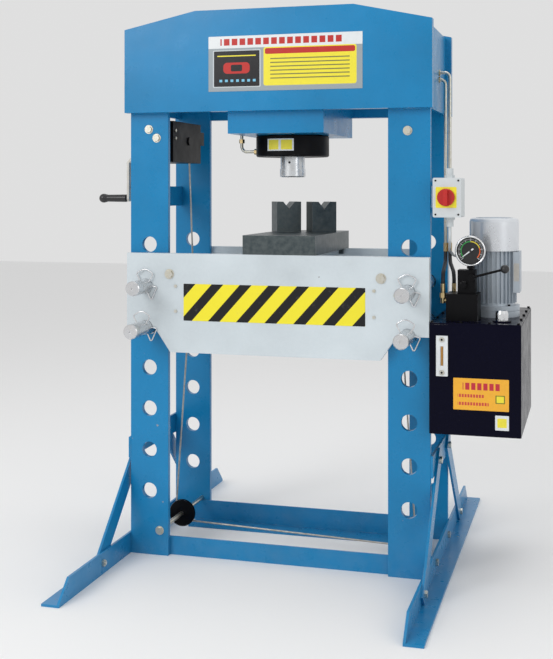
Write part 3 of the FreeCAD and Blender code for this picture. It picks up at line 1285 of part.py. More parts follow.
def write():
    """Check every object of the document, then write each sub-part to its own file."""
    doc.recompute()
    failed = [o.Label for o in doc.Objects if "Invalid" in o.State or "Error" in o.State]
    if failed:
        raise RuntimeError(f"failed objects: {failed}")
    for item in NODES:
        if item.Shape.isNull() or not item.Shape.isValid() or not item.Shape.Solids:
            raise RuntimeError(f"{item.Label} has no valid solid")
    os.makedirs("parts", exist_ok=True)
    for item in NODES:
        item.Shape.exportStep(f"parts/{item.Label}.step")
    print(len(NODES), "nodes,", sum(len(item.Shape.Solids) for item in NODES), "solids")


build()
write()
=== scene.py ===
"""Finishes and fine pieces for an H-frame hydraulic press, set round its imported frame.

Lengths are metres in the machine's own frame: +X to its right, +Y to the rear, +Z up, with the
floor at Z = 0. Each piece is a surface worked out as arrays of points, and rides on the body
that carries it.
"""
import math

import bpy
import numpy as np
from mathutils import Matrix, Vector


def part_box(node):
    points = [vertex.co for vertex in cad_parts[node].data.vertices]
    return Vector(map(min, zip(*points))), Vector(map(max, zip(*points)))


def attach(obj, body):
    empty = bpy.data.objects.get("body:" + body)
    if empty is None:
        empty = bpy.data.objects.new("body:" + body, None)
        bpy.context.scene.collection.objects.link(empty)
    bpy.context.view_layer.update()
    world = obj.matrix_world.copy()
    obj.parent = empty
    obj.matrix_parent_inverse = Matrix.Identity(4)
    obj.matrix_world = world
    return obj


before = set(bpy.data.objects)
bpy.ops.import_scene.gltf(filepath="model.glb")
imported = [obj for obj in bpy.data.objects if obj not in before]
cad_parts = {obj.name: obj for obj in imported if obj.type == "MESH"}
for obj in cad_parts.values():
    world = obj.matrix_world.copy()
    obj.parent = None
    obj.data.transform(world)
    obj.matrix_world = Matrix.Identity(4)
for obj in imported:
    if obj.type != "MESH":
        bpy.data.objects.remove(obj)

bl_info = {
    "name": "Workshop Press Finisher",
    "version": (1, 0, 0),
    "blender": (4, 5, 0),
    "location": "View3D > Sidebar > Press",
    "description": "Finishes and fine pieces for an H-frame hydraulic press",
    "category": "Object",
}

X, Y, Z = np.eye(3)
TURN = 2 * math.pi


# ------------------------------------------------------------------ places on the machine

def low(node):
    """Lowest corner of a node's box."""
    return np.array(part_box(node)[0])


def high(node):
    """Highest corner of a node's box."""
    return np.array(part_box(node)[1])


def middle(node):
    """Centre of a node's box."""
    return (low(node) + high(node)) / 2


def solids(node):
    """Lowest and highest corners of each separate solid in a node, found by joining vertices
    that share a place and then following the triangles from one to the next."""
    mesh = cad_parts[node].data
    points = np.empty(len(mesh.vertices) * 3)
    mesh.vertices.foreach_get("co", points)
    points = points.reshape(-1, 3)
    corners = np.empty(len(mesh.loops), int)
    mesh.loops.foreach_get("vertex_index", corners)
    same = np.unique(np.round(points, 6), axis=0, return_inverse=True)[1].ravel()
    triangles = same[corners.reshape(-1, 3)]
    label = np.arange(same.max() + 1)
    while True:
        lowest = label[triangles].min(axis=1)
        new = label.copy()
        np.minimum.at(new, triangles.ravel(), np.repeat(lowest, 3))
        new = new[new]
        if np.array_equal(new, label):
            break
        label = new
    owner = label[same]
    return [(points[owner == i].min(axis=0), points[owner == i].max(axis=0))
            for i in np.unique(owner)]


# ------------------------------------------------------------------ surfaces

def outward(points, faces):
    """The shape with its faces turned outwards: the sum over its faces of the volume under each
    one, seen from the shape's middle, is made positive."""
    first, second, third = (points[faces[:, i]] - points.mean(axis=0) for i in range(3))
    last = points[faces[:, -1]] - points.mean(axis=0)
    volume = np.einsum("ij,ij->i", first, np.cross(second, third)).sum()
    volume += np.einsum("ij,ij->i", first, np.cross(third, last)).sum()
    return points, faces if volume > 0 else faces[:, ::-1]


def lofted(rings, ends=True, loop=False):
    """A skin over rings of points: point (i, j) of the grid is joined to its neighbours along
    the ring, which closes on itself, and in the next ring. Each end ring is closed onto its
    middle point, or in a loop the last ring is joined to the first."""
    rings = np.asarray(rings, float)
    count, around = rings.shape[:2]
    index = np.arange(count * around).reshape(count, around)
    if loop:
        index = np.vstack([index, index[:1]])
    ahead = np.roll(index, -1, axis=1)
    faces = np.stack([index[:-1], ahead[:-1], ahead[1:], index[1:]], axis=-1).reshape(-1, 4)
    points = rings.reshape(-1, 3)
    if ends and not loop:
        points = np.vstack([points, rings[0].mean(axis=0), rings[-1].mean(axis=0)])
        start = np.full(around, count * around)
        first, last = index[0], index[-1]
        faces = np.vstack([faces, np.stack([ahead[0], first, start, start], axis=-1),
                           np.stack([last, ahead[-1], start + 1, start + 1], axis=-1)])
    return outward(points, faces)


def gathered(shapes):
    """Several shapes as one."""
    starts = np.cumsum([0] + [len(points) for points, _ in shapes])
    return (np.vstack([points for points, _ in shapes]),
            np.vstack([faces + start for (_, faces), start in zip(shapes, starts)]))


def basis(axis):
    """Two directions across an axis and the axis itself, as rows of a turning matrix."""
    axis = np.asarray(axis, float) / np.linalg.norm(axis)
    side = X if abs(axis[0]) < 0.9 else Y
    side = side - axis * side.dot(axis)
    side /= np.linalg.norm(side)
    return np.array([side, np.cross(axis, side), axis])


def placed(rings, centre, axis):
    """Rings given as across, across, along are set at a centre, along an axis."""
    return np.asarray(centre) + np.asarray(rings) @ basis(axis)


def circle(around, start=0.0):
    """Points (cos t, sin t) at equal steps of t."""
    t = np.arange(around) / around * TURN + start
    return np.stack([np.cos(t), np.sin(t)], axis=-1)


def turned(profile, centre, axis, around=48):
    """A turned piece: each (radius, height) of the profile gives the ring
    (radius cos t, radius sin t, height)."""
    profile = np.asarray(profile, float)
    rings = np.empty((len(profile), around, 3))
    rings[..., :2] = profile[:, None, :1] * circle(around)
    rings[..., 2] = profile[:, None, 1]
    return lofted(placed(rings, centre, axis))


def washer(centre, axis, bore, outer, thick, edge, around=48):
    """A ring of rectangular section with eased outer edges, turned about its axis."""
    section = np.array([(bore, 0), (outer - edge, 0), (outer, edge), (outer, thick - edge),
                        (outer - edge, thick), (bore, thick)])
    rings = np.empty((len(section), around, 3))
    rings[..., :2] = section[:, None, :1] * circle(around)
    rings[..., 2] = section[:, None, 1]
    return lofted(placed(rings, centre, axis), loop=True)


def doughnut(centre, axis, radius, thick, around=48, section=12, flat=1.0):
    """A torus: a small circle of radius thick, at radius from the axis, carried round it."""
    t = np.arange(section) / section * TURN
    profile = np.stack([radius + thick * np.cos(t), flat * thick * np.sin(t)], axis=-1)
    rings = np.empty((section, around, 3))
    rings[..., :2] = profile[:, None, :1] * circle(around)
    rings[..., 2] = profile[:, None, 1]
    return lofted(placed(rings, centre, axis), loop=True)


def rounded_outline(width, height, radius, steps=6):
    """A rectangle's outline with its corners as quarter circles of the radius."""
    t = np.linspace(0, TURN / 4, steps)
    arc = np.stack([np.cos(t), np.sin(t)], axis=-1) * radius
    corner = np.array([width / 2 - radius, height / 2 - radius])
    quarter = arc + corner
    turns = [quarter, quarter[::-1] * (-1, 1), -quarter, quarter[::-1] * (1, -1)]
    return np.vstack(turns)


def plate(centre, axis, width, height, thick, radius, edge, up=Z, steps=6):
    """A flat plate that stands on centre: its outline, drawn in by the edge's size at the foot
    and the top, so that its rims are eased. width runs across up, height along it."""
    axis = np.asarray(axis, float)
    across = np.cross(up, axis)
    rings = []
    for inset, depth in ((edge, 0), (0, edge), (0, thick - edge), (edge, thick)):
        outline = rounded_outline(width - 2 * inset, height - 2 * inset,
                                  max(radius - inset, edge * 0.2), steps)
        rings.append(np.asarray(centre) + outline[:, :1] * across + outline[:, 1:] * up
                     + depth * axis)
    return lofted(rings)


def along(path, closed=False):
    """Directions along a path, and two across it, carried on with the least turning."""
    path = np.asarray(path, float)
    if closed:
        ahead = np.roll(path, -1, axis=0) - np.roll(path, 1, axis=0)
    else:
        ahead = np.gradient(path, axis=0)
    ahead /= np.linalg.norm(ahead, axis=1)[:, None]
    side = np.empty_like(ahead)
    side[0] = basis(ahead[0])[0]
    for i in range(1, len(path)):
        step = side[i - 1] - ahead[i] * side[i - 1].dot(ahead[i])
        side[i] = step / np.linalg.norm(step)
    return ahead, side, np.cross(ahead, side)


def carried(path, section, sizes=None, twist=None):
    """A section carried along a path: ring i is the section, scaled by sizes[i] and turned by
    twist[i], in the plane across the path."""
    path = np.asarray(path, float)
    section = np.asarray(section, float)
    sizes = np.ones(len(path)) if sizes is None else np.asarray(sizes)
    twist = np.zeros(len(path)) if twist is None else np.asarray(twist)
    _, side, other = along(path)
    c, s = np.cos(twist)[:, None], np.sin(twist)[:, None]
    u = c * section[:, 0] - s * section[:, 1]
    v = s * section[:, 0] + c * section[:, 1]
    rings = path[:, None] + sizes[:, None, None] * (u[..., None] * side[:, None]
                                                    + v[..., None] * other[:, None])
    return lofted(rings)


def piece(name, shape, body, finish, sharp=35.0):
    """Write a shape as a mesh that rides on a body; faces that meet at less than the sharp
    angle are shaded as one surface."""
    points, faces = shape
    triangle = faces[:, 2] == faces[:, 3]
    sizes = np.where(triangle, 3, 4)
    corners = faces.ravel()[(np.arange(4) < sizes[:, None]).ravel()]
    mesh = bpy.data.meshes.new(name)
    mesh.vertices.add(len(points))
    mesh.vertices.foreach_set("co", points.ravel())
    mesh.loops.add(len(corners))
    mesh.loops.foreach_set("vertex_index", corners)
    mesh.polygons.add(len(faces))
    mesh.polygons.foreach_set("loop_start", np.cumsum(sizes) - sizes)
    mesh.update(calc_edges=True)
    mesh.validate()
    mesh.shade_smooth()
    mesh.set_sharp_from_angle(angle=math.radians(sharp))
    made = bpy.data.objects.new(name, mesh)
    bpy.context.scene.collection.objects.link(made)
    mesh.materials.append(finish)
    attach(made, body)
    return made


# ------------------------------------------------------------------ finishes

def shade(red, green, blue):
    """A colour given as display values from 0 to 255, as linear light."""
    value = np.array([red, green, blue]) / 255
    return tuple(np.where(value <= 0.04045, value / 12.92, ((value + 0.055) / 1.055) ** 2.4))


class Finish:
    """A surface finish: one Principled shader, fed by short chains of nodes."""

    def __init__(self, name, colour, roughness, **plain):
        self.material = bpy.data.materials.new(name)
        self.material.use_nodes = True
        self.tree = self.material.node_tree
        self.shader = self.tree.nodes["Principled BSDF"]
        self.colour = (*colour, 1.0)
        self.rough = roughness
        self.shader.inputs["Base Color"].default_value = self.colour
        self.shader.inputs["Roughness"].default_value = roughness
        for label, number in plain.items():
            self.shader.inputs[label.replace("_", " ")].default_value = number
        self.object_place = self.add("ShaderNodeTexCoord").outputs["Object"]
        self.normal = None

    def add(self, kind, inputs=None, **settings):
        """Add a node, set it up, and feed its inputs with numbers, colours or outputs."""
        made = self.tree.nodes.new(kind)
        for label, setting in settings.items():
            setattr(made, label, setting)
        for label, source in (inputs or {}).items():
            self.feed(source, made.inputs[label])
        return made

    def feed(self, source, socket):
        """Join an output to a socket, or set the socket to a value."""
        if isinstance(source, bpy.types.NodeSocket):
            self.tree.links.new(source, socket)
        else:
            socket.default_value = source

    def maths(self, operation, first, second=0.0, third=0.0):
        """One step of arithmetic."""
        return self.add("ShaderNodeMath", {0: first, 1: second, 2: third},
                        operation=operation).outputs[0]

    def stretched(self, sizes, turn=(0, 0, 0), start=(0, 0, 0)):
        """The piece's own coordinates, scaled along each axis."""
        return self.add("ShaderNodeMapping", {"Vector": self.object_place, "Scale": sizes,
                                              "Rotation": turn,
                                              "Location": start}).outputs["Vector"]

    def noise(self, size, detail=4.0, roughness=0.55, place=None, seed=0.0):
        """Soft cloudy values between 0 and 1, with clouds about size metres across."""
        return self.add("ShaderNodeTexNoise",
                        {"Vector": place or self.object_place, "W": seed, "Scale": 1 / size,
                         "Detail": detail, "Roughness": roughness},
                        noise_dimensions="4D").outputs["Fac"]

    def cells(self, size, place=None, feature="F1"):
        """Distance to the nearest of many scattered points, size metres apart."""
        return self.add("ShaderNodeTexVoronoi",
                        {"Vector": place or self.object_place, "Scale": 1 / size},
                        feature=feature).outputs["Distance"]

    def spread(self, source, lowest, highest, first=0.0, last=1.0):
        """A value from lowest to highest, brought to the range from first to last."""
        return self.add("ShaderNodeMapRange",
                        {"Value": source, "From Min": lowest, "From Max": highest,
                         "To Min": first, "To Max": last}).outputs["Result"]

    def mixed(self, amount, first, second, way="MIX"):
        """Two colours mixed by an amount."""
        made = self.add("ShaderNodeMix", data_type="RGBA", blend_type=way)
        for source, socket in ((amount, made.inputs[0]), (first, made.inputs[6]),
                               (second, made.inputs[7])):
            if isinstance(source, tuple) and len(source) == 3:
                source = (*source, 1.0)
            self.feed(source, socket)
        return made.outputs[2]

    def axis(self, letter, start=0.0):
        """Distance along one axis from a starting place, in metres."""
        split = self.add("ShaderNodeSeparateXYZ", {"Vector": self.object_place})
        return self.maths("SUBTRACT", split.outputs[letter], start)

    def edges(self, radius):
        """1 along the piece's edges and 0 on its faces, from how far a rounded normal leans
        from the true one."""
        rounded = self.add("ShaderNodeBevel", {"Radius": radius}, samples=4).outputs[0]
        plain = self.add("ShaderNodeNewGeometry").outputs["True Normal"]
        alike = self.add("ShaderNodeVectorMath", {0: rounded, 1: plain},
                         operation="DOT_PRODUCT").outputs["Value"]
        return self.spread(alike, 0.995, 0.80)

    def relief(self, height, depth, strength=1.0):
        """Raise the surface by a height pattern, depth metres high."""
        made = self.add("ShaderNodeBump", {"Height": height, "Distance": depth,
                                           "Strength": strength})
        if self.normal:
            self.feed(self.normal, made.inputs["Normal"])
        self.normal = made.outputs["Normal"]

    def done(self, colour=None, roughness=None, metallic=None):
        """Join the worked-out patterns to the shader."""
        for source, label in ((colour, "Base Color"), (roughness, "Roughness"),
                              (metallic, "Metallic"), (self.normal, "Normal")):
            if source is not None:
                self.feed(source, self.shader.inputs[label])
        return self.material

    # ---- patterns on a flat panel, in metres from its lower left corner

    def field(self, x, z, left, right, bottom, top, radius=0.0):
        """1 inside a rectangle with rounded corners: the distance from a point to the
        rectangle drawn in by the radius is less than the radius."""
        radius = max(radius, 1e-5)
        sides = []
        for place, first, last in ((x, left, right), (z, bottom, top)):
            away = self.maths("ABSOLUTE",
                              self.maths("SUBTRACT", place, (first + last) / 2))
            away = self.maths("SUBTRACT", away, (last - first) / 2 - radius)
            sides.append(self.maths("MAXIMUM", away, 0.0))
        far = self.maths("SQRT", self.maths("ADD", self.maths("POWER", sides[0], 2.0),
                                            self.maths("POWER", sides[1], 2.0)))
        return self.maths("LESS_THAN", far, radius)

    def rows(self, place, pitch, share, start=0.0):
        """1 on the first share of each pitch along a place, and 0 on the rest."""
        step = self.maths("FRACT", self.maths("DIVIDE", self.maths("SUBTRACT", place, start),
                                              pitch))
        return self.maths("LESS_THAN", step, share)


def enamel(name, colour, roughness, primer, wear=0.5, peel=0.5, dust=0.0, **plain):
    """Sprayed paint: faint clouding, orange peel, chips along edges and a few knocks, fine
    scratches, and dust that has settled low down."""
    made = Finish(name, colour, roughness, **plain)
    deep = tuple(c * 0.80 for c in colour)
    cloud = made.spread(made.noise(0.35, 3), 0.35, 0.7)
    paint = made.mixed(cloud, colour, deep)
    fine = made.spread(made.noise(0.012, 6, 0.7), 0.3, 0.75)
    paint = made.mixed(made.maths("MULTIPLY", fine, 0.10), paint,
                       tuple(min(c * 1.5 + 0.01, 1) for c in colour))
    scratch_place = made.stretched((1.0, 14.0, 1.0), (0.4, 0.9, 0.3))
    scratch = made.spread(made.noise(0.03, 8, 0.75, scratch_place, 3.0), 0.66, 0.72)
    paint = made.mixed(made.maths("MULTIPLY", scratch, 0.22 * wear), paint,
                       tuple(min(c * 1.7 + 0.03, 1) for c in colour))
    ragged = made.noise(0.006, 5, 0.7, seed=5.0)
    patch = made.noise(0.09, 2, 0.5, seed=8.0)
    rim = made.maths("MULTIPLY", made.edges(0.0016), made.spread(patch, 0.42, 0.62))
    chip = made.spread(made.maths("MULTIPLY", rim, ragged), 0.40 - 0.12 * wear,
                       0.46 - 0.12 * wear)
    knock = made.spread(made.noise(0.022, 2, 0.4, seed=11.0), 0.765 - 0.02 * wear, 0.78)
    chip = made.maths("MAXIMUM", chip, knock)
    paint = made.mixed(chip, paint, primer)
    if dust:
        settled = made.spread(made.axis("Z"), 0.22, 0.0)
        settled = made.maths("MULTIPLY", settled, made.spread(made.noise(0.05, 5), 0.3, 0.8))
        paint = made.mixed(made.maths("MULTIPLY", settled, dust), paint,
                           (0.42, 0.40, 0.36))
    made.relief(made.noise(0.0035, 2, 0.5), 0.00006, peel)
    made.relief(made.maths("SUBTRACT", 1.0, chip), 0.00018, 0.6)
    rough = made.spread(made.noise(0.05, 4, seed=2.0), 0.3, 0.7, roughness - 0.06,
                        roughness + 0.08)
    rough = made.maths("ADD", rough, made.maths("MULTIPLY", chip, 0.25))
    return made.done(paint, rough)


def worked_steel(name, colour, roughness, axis, grain=0.0011, marks=0.4, **plain):
    """Bare machined steel: fine tool lines square to an axis, soft stains, small nicks and a
    trace of brown where oil has dried."""
    made = Finish(name, colour, roughness, Metallic=1.0, **plain)
    squeeze = {"X": (1, 0.03, 0.03), "Y": (0.03, 1, 0.03), "Z": (0.03, 0.03, 1)}[axis]
    lines = made.noise(grain, 3, 0.6, made.stretched(squeeze))
    stain = made.spread(made.noise(0.03, 5, 0.6, seed=4.0), 0.42, 0.75)
    steel = made.mixed(made.maths("MULTIPLY", lines, 0.35), colour,
                       tuple(c * 0.62 for c in colour))
    steel = made.mixed(made.maths("MULTIPLY", stain, marks), steel,
                       tuple(np.array(colour) * (0.62, 0.55, 0.47)))
    nick = made.spread(made.noise(0.008, 2, 0.4, seed=9.0), 0.74, 0.78)
    steel = made.mixed(made.maths("MULTIPLY", nick, 0.5), steel,
                       tuple(c * 0.4 for c in colour))
    made.relief(lines, 0.00003, 0.5)
    made.relief(made.maths("SUBTRACT", 1.0, nick), 0.0001, 0.4)
    rough = made.maths("ADD", made.spread(lines, 0.2, 0.8, roughness - 0.05, roughness + 0.1),
                       made.maths("MULTIPLY", stain, 0.16))
    return made.done(steel, rough)


def plated(name, colour, roughness, tint, **plain):
    """Plated steel: an uneven bright skin, with duller patches of another tint and fine
    pitting."""
    made = Finish(name, colour, roughness, Metallic=1.0, **plain)
    patch = made.spread(made.noise(0.012, 5, 0.65), 0.38, 0.68)
    skin = made.mixed(patch, colour, tint)
    pit = made.spread(made.cells(0.0012), 0.05, 0.25)
    made.relief(pit, 0.00003, 0.4)
    dull = made.spread(made.edges(0.0008), 0.2, 0.9)
    skin = made.mixed(made.maths("MULTIPLY", dull, 0.35), skin,
                      tuple(min(c * 1.25, 1) for c in colour))
    rough = made.spread(patch, 0.0, 1.0, roughness, roughness + 0.14)
    return made.done(skin, rough)


def moulded(name, colour, roughness, grain=0.0009, **plain):
    """Moulded plastic: a fine spark-eroded grain, faint flow clouds and rubbed edges."""
    made = Finish(name, colour, roughness, **plain)
    flow = made.spread(made.noise(0.06, 2), 0.3, 0.7)
    skin = made.mixed(made.maths("MULTIPLY", flow, 0.5), colour,
                      tuple(c * 0.88 for c in colour))
    rubbed = made.maths("MULTIPLY", made.edges(0.0012), made.noise(0.01, 4))
    skin = made.mixed(made.maths("MULTIPLY", rubbed, 0.35), skin,
                      tuple(min(c * 1.3 + 0.03, 1) for c in colour))
    grit = made.spread(made.noise(0.03, 6, 0.7, seed=6.0), 0.55, 0.8)
    skin = made.mixed(made.maths("MULTIPLY", grit, 0.16), skin, (0.10, 0.09, 0.08))
    made.relief(made.noise(grain, 3, 0.6), 0.00003, 0.6)
    rough = made.spread(flow, 0.0, 1.0, roughness, roughness + 0.1)
    return made.done(skin, rough)


def blackened_steel(name, colour, **plain):
    """Blackened and oiled steel: brown-black mottling, ground edges that show bright, and
    rust specks."""
    made = Finish(name, colour, 0.4, Metallic=0.75, **plain)
    mottle = made.spread(made.noise(0.02, 6, 0.65), 0.3, 0.75)
    skin = made.mixed(mottle, colour, tuple(np.array(colour) * (2.3, 2.0, 1.8)))
    bright = made.maths("MULTIPLY", made.edges(0.0014),
                        made.spread(made.noise(0.015, 3, seed=3.0), 0.35, 0.6))
    skin = made.mixed(made.maths("MULTIPLY", bright, 0.8), skin, (0.42, 0.42, 0.42))
    rust = made.spread(made.noise(0.010, 6, 0.7, seed=7.0), 0.68, 0.75)
    skin = made.mixed(made.maths("MULTIPLY", rust, 0.6), skin, (0.09, 0.04, 0.018))
    made.relief(made.noise(0.004, 5, 0.6), 0.00012, 0.35)
    rough = made.spread(mottle, 0.0, 1.0, 0.28, 0.5)
    return made.done(skin, made.maths("ADD", rough, made.maths("MULTIPLY", rust, 0.3)))


def rubber(name, colour):
    """Hose rubber: matt, with a fine cloth-wrapped skin and grey bloom."""
    made = Finish(name, colour, 0.6, Specular_IOR_Level=0.4)
    bloom = made.spread(made.noise(0.02, 5, 0.6), 0.4, 0.75)
    skin = made.mixed(made.maths("MULTIPLY", bloom, 0.35), colour, (0.10, 0.10, 0.105))
    weave = made.noise(0.0012, 2, 0.4, made.stretched((1, 1, 2.2), (0.6, 0.2, 0.0)))
    made.relief(weave, 0.00015, 0.5)
    return made.done(skin, made.spread(bloom, 0, 1, 0.5, 0.7))


# ------------------------------------------------------------------ settings

class PressColours(bpy.types.PropertyGroup):
    """The paint and plastic colours, as linear light."""

    frame_paint: bpy.props.FloatVectorProperty(
        name="Frame paint", description="Gloss enamel of the posts, beam, feet and block",
        subtype="COLOR", size=3, min=0, max=1, default=(0.004, 0.215, 0.47))
    bed_paint: bpy.props.FloatVectorProperty(
        name="Bed paint", description="Gloss enamel of the two bed plates",
        subtype="COLOR", size=3, min=0, max=1, default=(0.62, 0.69, 0.73))
    tank_paint: bpy.props.FloatVectorProperty(
        name="Tank paint", description="Gloss enamel of the oil tank and its lid",
        subtype="COLOR", size=3, min=0, max=1, default=(0.001, 0.001, 0.010))
    motor_paint: bpy.props.FloatVectorProperty(
        name="Motor paint", description="Silver grey enamel of the motor and its terminal box",
        subtype="COLOR", size=3, min=0, max=1, default=(0.48, 0.54, 0.60))
    cover_paint: bpy.props.FloatVectorProperty(
        name="Cover paint", description="Bright silver enamel of the fan cover",
        subtype="COLOR", size=3, min=0, max=1, default=(0.80, 0.83, 0.87))
    knob_red: bpy.props.FloatVectorProperty(
        name="Switch red", description="Moulded plastic of the switch knob",
        subtype="COLOR", size=3, min=0, max=1, default=shade(190, 30, 26))
    stripe_yellow: bpy.props.FloatVectorProperty(
        name="Stripe yellow", description="Yellow of the striped band and of the switch plate",
        subtype="COLOR", size=3, min=0, max=1, default=shade(240, 226, 48))
    floor: bpy.props.FloatVectorProperty(
        name="Floor", description="The plain studio floor",
        subtype="COLOR", size=3, min=0, max=1, default=shade(240, 240, 240))


class PressWear(bpy.types.PropertyGroup):
    """How used the machine looks."""

    chips: bpy.props.FloatProperty(
        name="Chips", description="How far the paint is chipped along its edges",
        min=0, max=1, default=0.12, subtype="FACTOR")
    dust: bpy.props.FloatProperty(
        name="Dust", description="How much dust has settled near the floor",
        min=0, max=1, default=0.1, subtype="FACTOR")


class PressCamera(bpy.types.PropertyGroup):
    """Where the camera stands and the lens it has."""

    place: bpy.props.FloatVectorProperty(
        name="Place", description="Where the camera stands, from the foot of the ram's axis",
        subtype="TRANSLATION",
        unit="LENGTH", size=3, default=(1.045, -3.9026, 1.2716))
    heading: bpy.props.FloatProperty(
        name="Heading", description="How far the level camera is turned from the rear",
        subtype="ANGLE", unit="ROTATION", default=math.radians(15.81))
    lens: bpy.props.FloatProperty(
        name="Lens", description="Focal length on a 36 mm wide sensor", unit="CAMERA",
        default=61.82)
    lower: bpy.props.FloatProperty(
        name="Lowered frame", description="How far the frame is shifted down",
        default=-0.213)


PROPERTY_GROUPS = (PressColours, PressWear, PressCamera)


# ------------------------------------------------------------------ finishes of this press

FINISHES = {}


def make_finishes():
    """Every finish, under the name that the pieces ask for."""
    scene = bpy.context.scene
    colours, wear = scene.press_colours, scene.press_wear
    bare = (0.30, 0.30, 0.31)
    FINISHES["frame"] = enamel("frame enamel", tuple(colours.frame_paint), 0.30, bare,
                               wear.chips, 0.45, wear.dust, Coat_Weight=0.1,
                               Coat_Roughness=0.15, Specular_IOR_Level=0.3)
    FINISHES["bed"] = enamel("bed enamel", tuple(colours.bed_paint), 0.36, bare,
                             wear.chips, 0.4, 0.0, Coat_Weight=0.25, Coat_Roughness=0.15)
    FINISHES["tank"] = enamel("tank enamel", tuple(colours.tank_paint), 0.24, bare,
                              wear.chips * 1.6, 0.5, wear.dust * 0.5,
                              Specular_IOR_Level=0.08)
    FINISHES["motor"] = enamel("motor enamel", tuple(colours.motor_paint), 0.38, bare,
                               wear.chips * 0.7, 0.5, 0.0, Metallic=0.3)
    FINISHES["cover"] = enamel("fan cover enamel", tuple(colours.cover_paint), 0.30, bare,
                               wear.chips * 0.5, 0.3, 0.0, Metallic=0.5)
    FINISHES["black"] = enamel("black satin", (0.003, 0.003, 0.004), 0.42, bare,
                               wear.chips, 0.6, 0.0, Specular_IOR_Level=0.12)
    FINISHES["oiled"] = blackened_steel("blackened steel", shade(62, 72, 76))
    FINISHES["turned Z"] = worked_steel("turned steel", (0.76, 0.79, 0.82), 0.2, "Z")
    FINISHES["turned Y"] = worked_steel("turned pin steel", (0.74, 0.75, 0.77), 0.2, "Y")
    FINISHES["drawn"] = worked_steel("drawn steel bar", (0.55, 0.54, 0.51), 0.34, "X", 0.002)
    FINISHES["zinc"] = plated("zinc plate", (0.66, 0.65, 0.60), 0.28, (0.56, 0.53, 0.42))
    FINISHES["chrome"] = plated("bright chrome", (0.86, 0.87, 0.88), 0.06,
                                (0.80, 0.81, 0.83))
    FINISHES["brass"] = plated("plated brass", (0.72, 0.56, 0.30), 0.26, (0.60, 0.44, 0.22))
    FINISHES["rope"] = plated("rope wire", (0.50, 0.49, 0.46), 0.36, (0.36, 0.33, 0.28))
    FINISHES["rubber"] = rubber("hose rubber", (0.016, 0.016, 0.018))
    FINISHES["black plastic"] = moulded("black plastic", (0.018, 0.018, 0.020), 0.28)
    FINISHES["grey plastic"] = moulded("pale grey plastic", shade(206, 212, 214), 0.42)
    FINISHES["red plastic"] = moulded("red plastic", tuple(colours.knob_red), 0.26)
    FINISHES["white plastic"] = moulded("white plastic", shade(226, 230, 232), 0.34)


NODE_FINISHES = {
    "frame": ["post_front_left", "post_front_right", "post_rear_left", "post_rear_right",
              "beam_front_plate", "beam_rear_plate", "beam_end_plates", "spreader_ties",
              "base_rails", "feet", "braces", "cylinder_block"],
    "bed": ["bed_front_plate", "bed_rear_plate", "bed_cross_plates"],
    "tank": ["oil_tank", "tank_lid"],
    "motor": ["motor_frame", "terminal_box"],
    "cover": ["fan_cover"],
    "black": ["cylinder_gland", "winch_box", "rope_spool_left", "rope_spool_right",
              "power_unit_screws", "manifold", "hand_valve", "gauge_case", "valve_lever"],
    "oiled": ["arbor_plate", "vee_blocks", "oil_pump"],
    "turned Z": ["cylinder_barrel", "piston", "ram_rod", "ram_nose", "motor_shaft"],
    "turned Y": ["bed_pin_upper_left", "bed_pin_upper_right", "bed_pin_lower_left",
                 "bed_pin_lower_right"],
    "drawn": ["winch_drum", "crank_arm"],
    "zinc": ["frame_bolts", "bed_bolts", "oil_tubes"],
    "chrome": ["filler_cap"],
    "brass": ["oil_fittings"],
    "rope": ["winch_rope", "levelling_rope"],
    "rubber": ["oil_hoses"],
    "black plastic": ["crank_grip", "motor_fan"],
    "grey plastic": ["switch_case", "switch_cover", "cable_glands", "motor_lead"],
    "red plastic": ["switch_knob"],
    "white plastic": ["level_gauge", "gauge_needle"],
}


# ------------------------------------------------------------------ operators

class PRESS_OT_stage(bpy.types.Operator):
    """Set up the camera, the plain floor and the soft studio light"""

    bl_idname = "press.stage"
    bl_label = "Stage"

    def execute(self, context):
        scene = context.scene
        settings = scene.press_camera
        data = bpy.data.cameras.new("Camera")
        data.lens = settings.lens
        data.sensor_width = 36
        data.shift_y = settings.lower
        data.clip_end = 60
        camera = bpy.data.objects.new("Camera", data)
        camera.location = Vector(settings.place) + Vector((middle("ram_rod")[0], 0, 0))
        camera.rotation_euler = (math.pi / 2, 0, settings.heading)
        scene.collection.objects.link(camera)
        scene.camera = camera

        reach = 14.0
        mesh = bpy.data.meshes.new("Floor")
        mesh.from_pydata([(-reach, -reach, 0), (reach, -reach, 0), (reach, reach, 0),
                          (-reach, reach, 0)], [], [(0, 1, 2, 3)])
        floor = bpy.data.objects.new("Floor", mesh)
        scene.collection.objects.link(floor)
        made = Finish("studio floor", tuple(scene.press_colours.floor), 0.8)
        cloud = made.spread(made.noise(1.5, 2), 0.3, 0.7, 0.76, 0.84)
        mesh.materials.append(made.done(roughness=cloud))

        world = bpy.data.worlds.new("Studio")
        world.use_nodes = True
        background = world.node_tree.nodes["Background"]
        background.inputs["Color"].default_value = (1.0, 1.0, 1.0, 1.0)
        background.inputs["Strength"].default_value = 0.74
        scene.world = world
        scene.view_settings.view_transform = "Standard"

        for name, place, size, power, aim in (
                ("Key light", (-2.4, -4.2, 3.4), 2.6, 85.0, (0, 0, 1.0)),
                ("Fill light", (3.6, -2.6, 2.2), 2.2, 14.0, (0.2, 0, 0.8)),
                ("Top light", (0.3, 0.4, 4.4), 3.0, 30.0, (0, 0, 0))):
            lamp = bpy.data.lights.new(name, "AREA")
            lamp.shape = "DISK"
            lamp.size = size
            lamp.energy = power
            held = bpy.data.objects.new(name, lamp)
            held.location = place
            held.rotation_euler = (Vector(place) - Vector(aim)).to_track_quat(
                "Z", "Y").to_euler()
            scene.collection.objects.link(held)
        return {"FINISHED"}


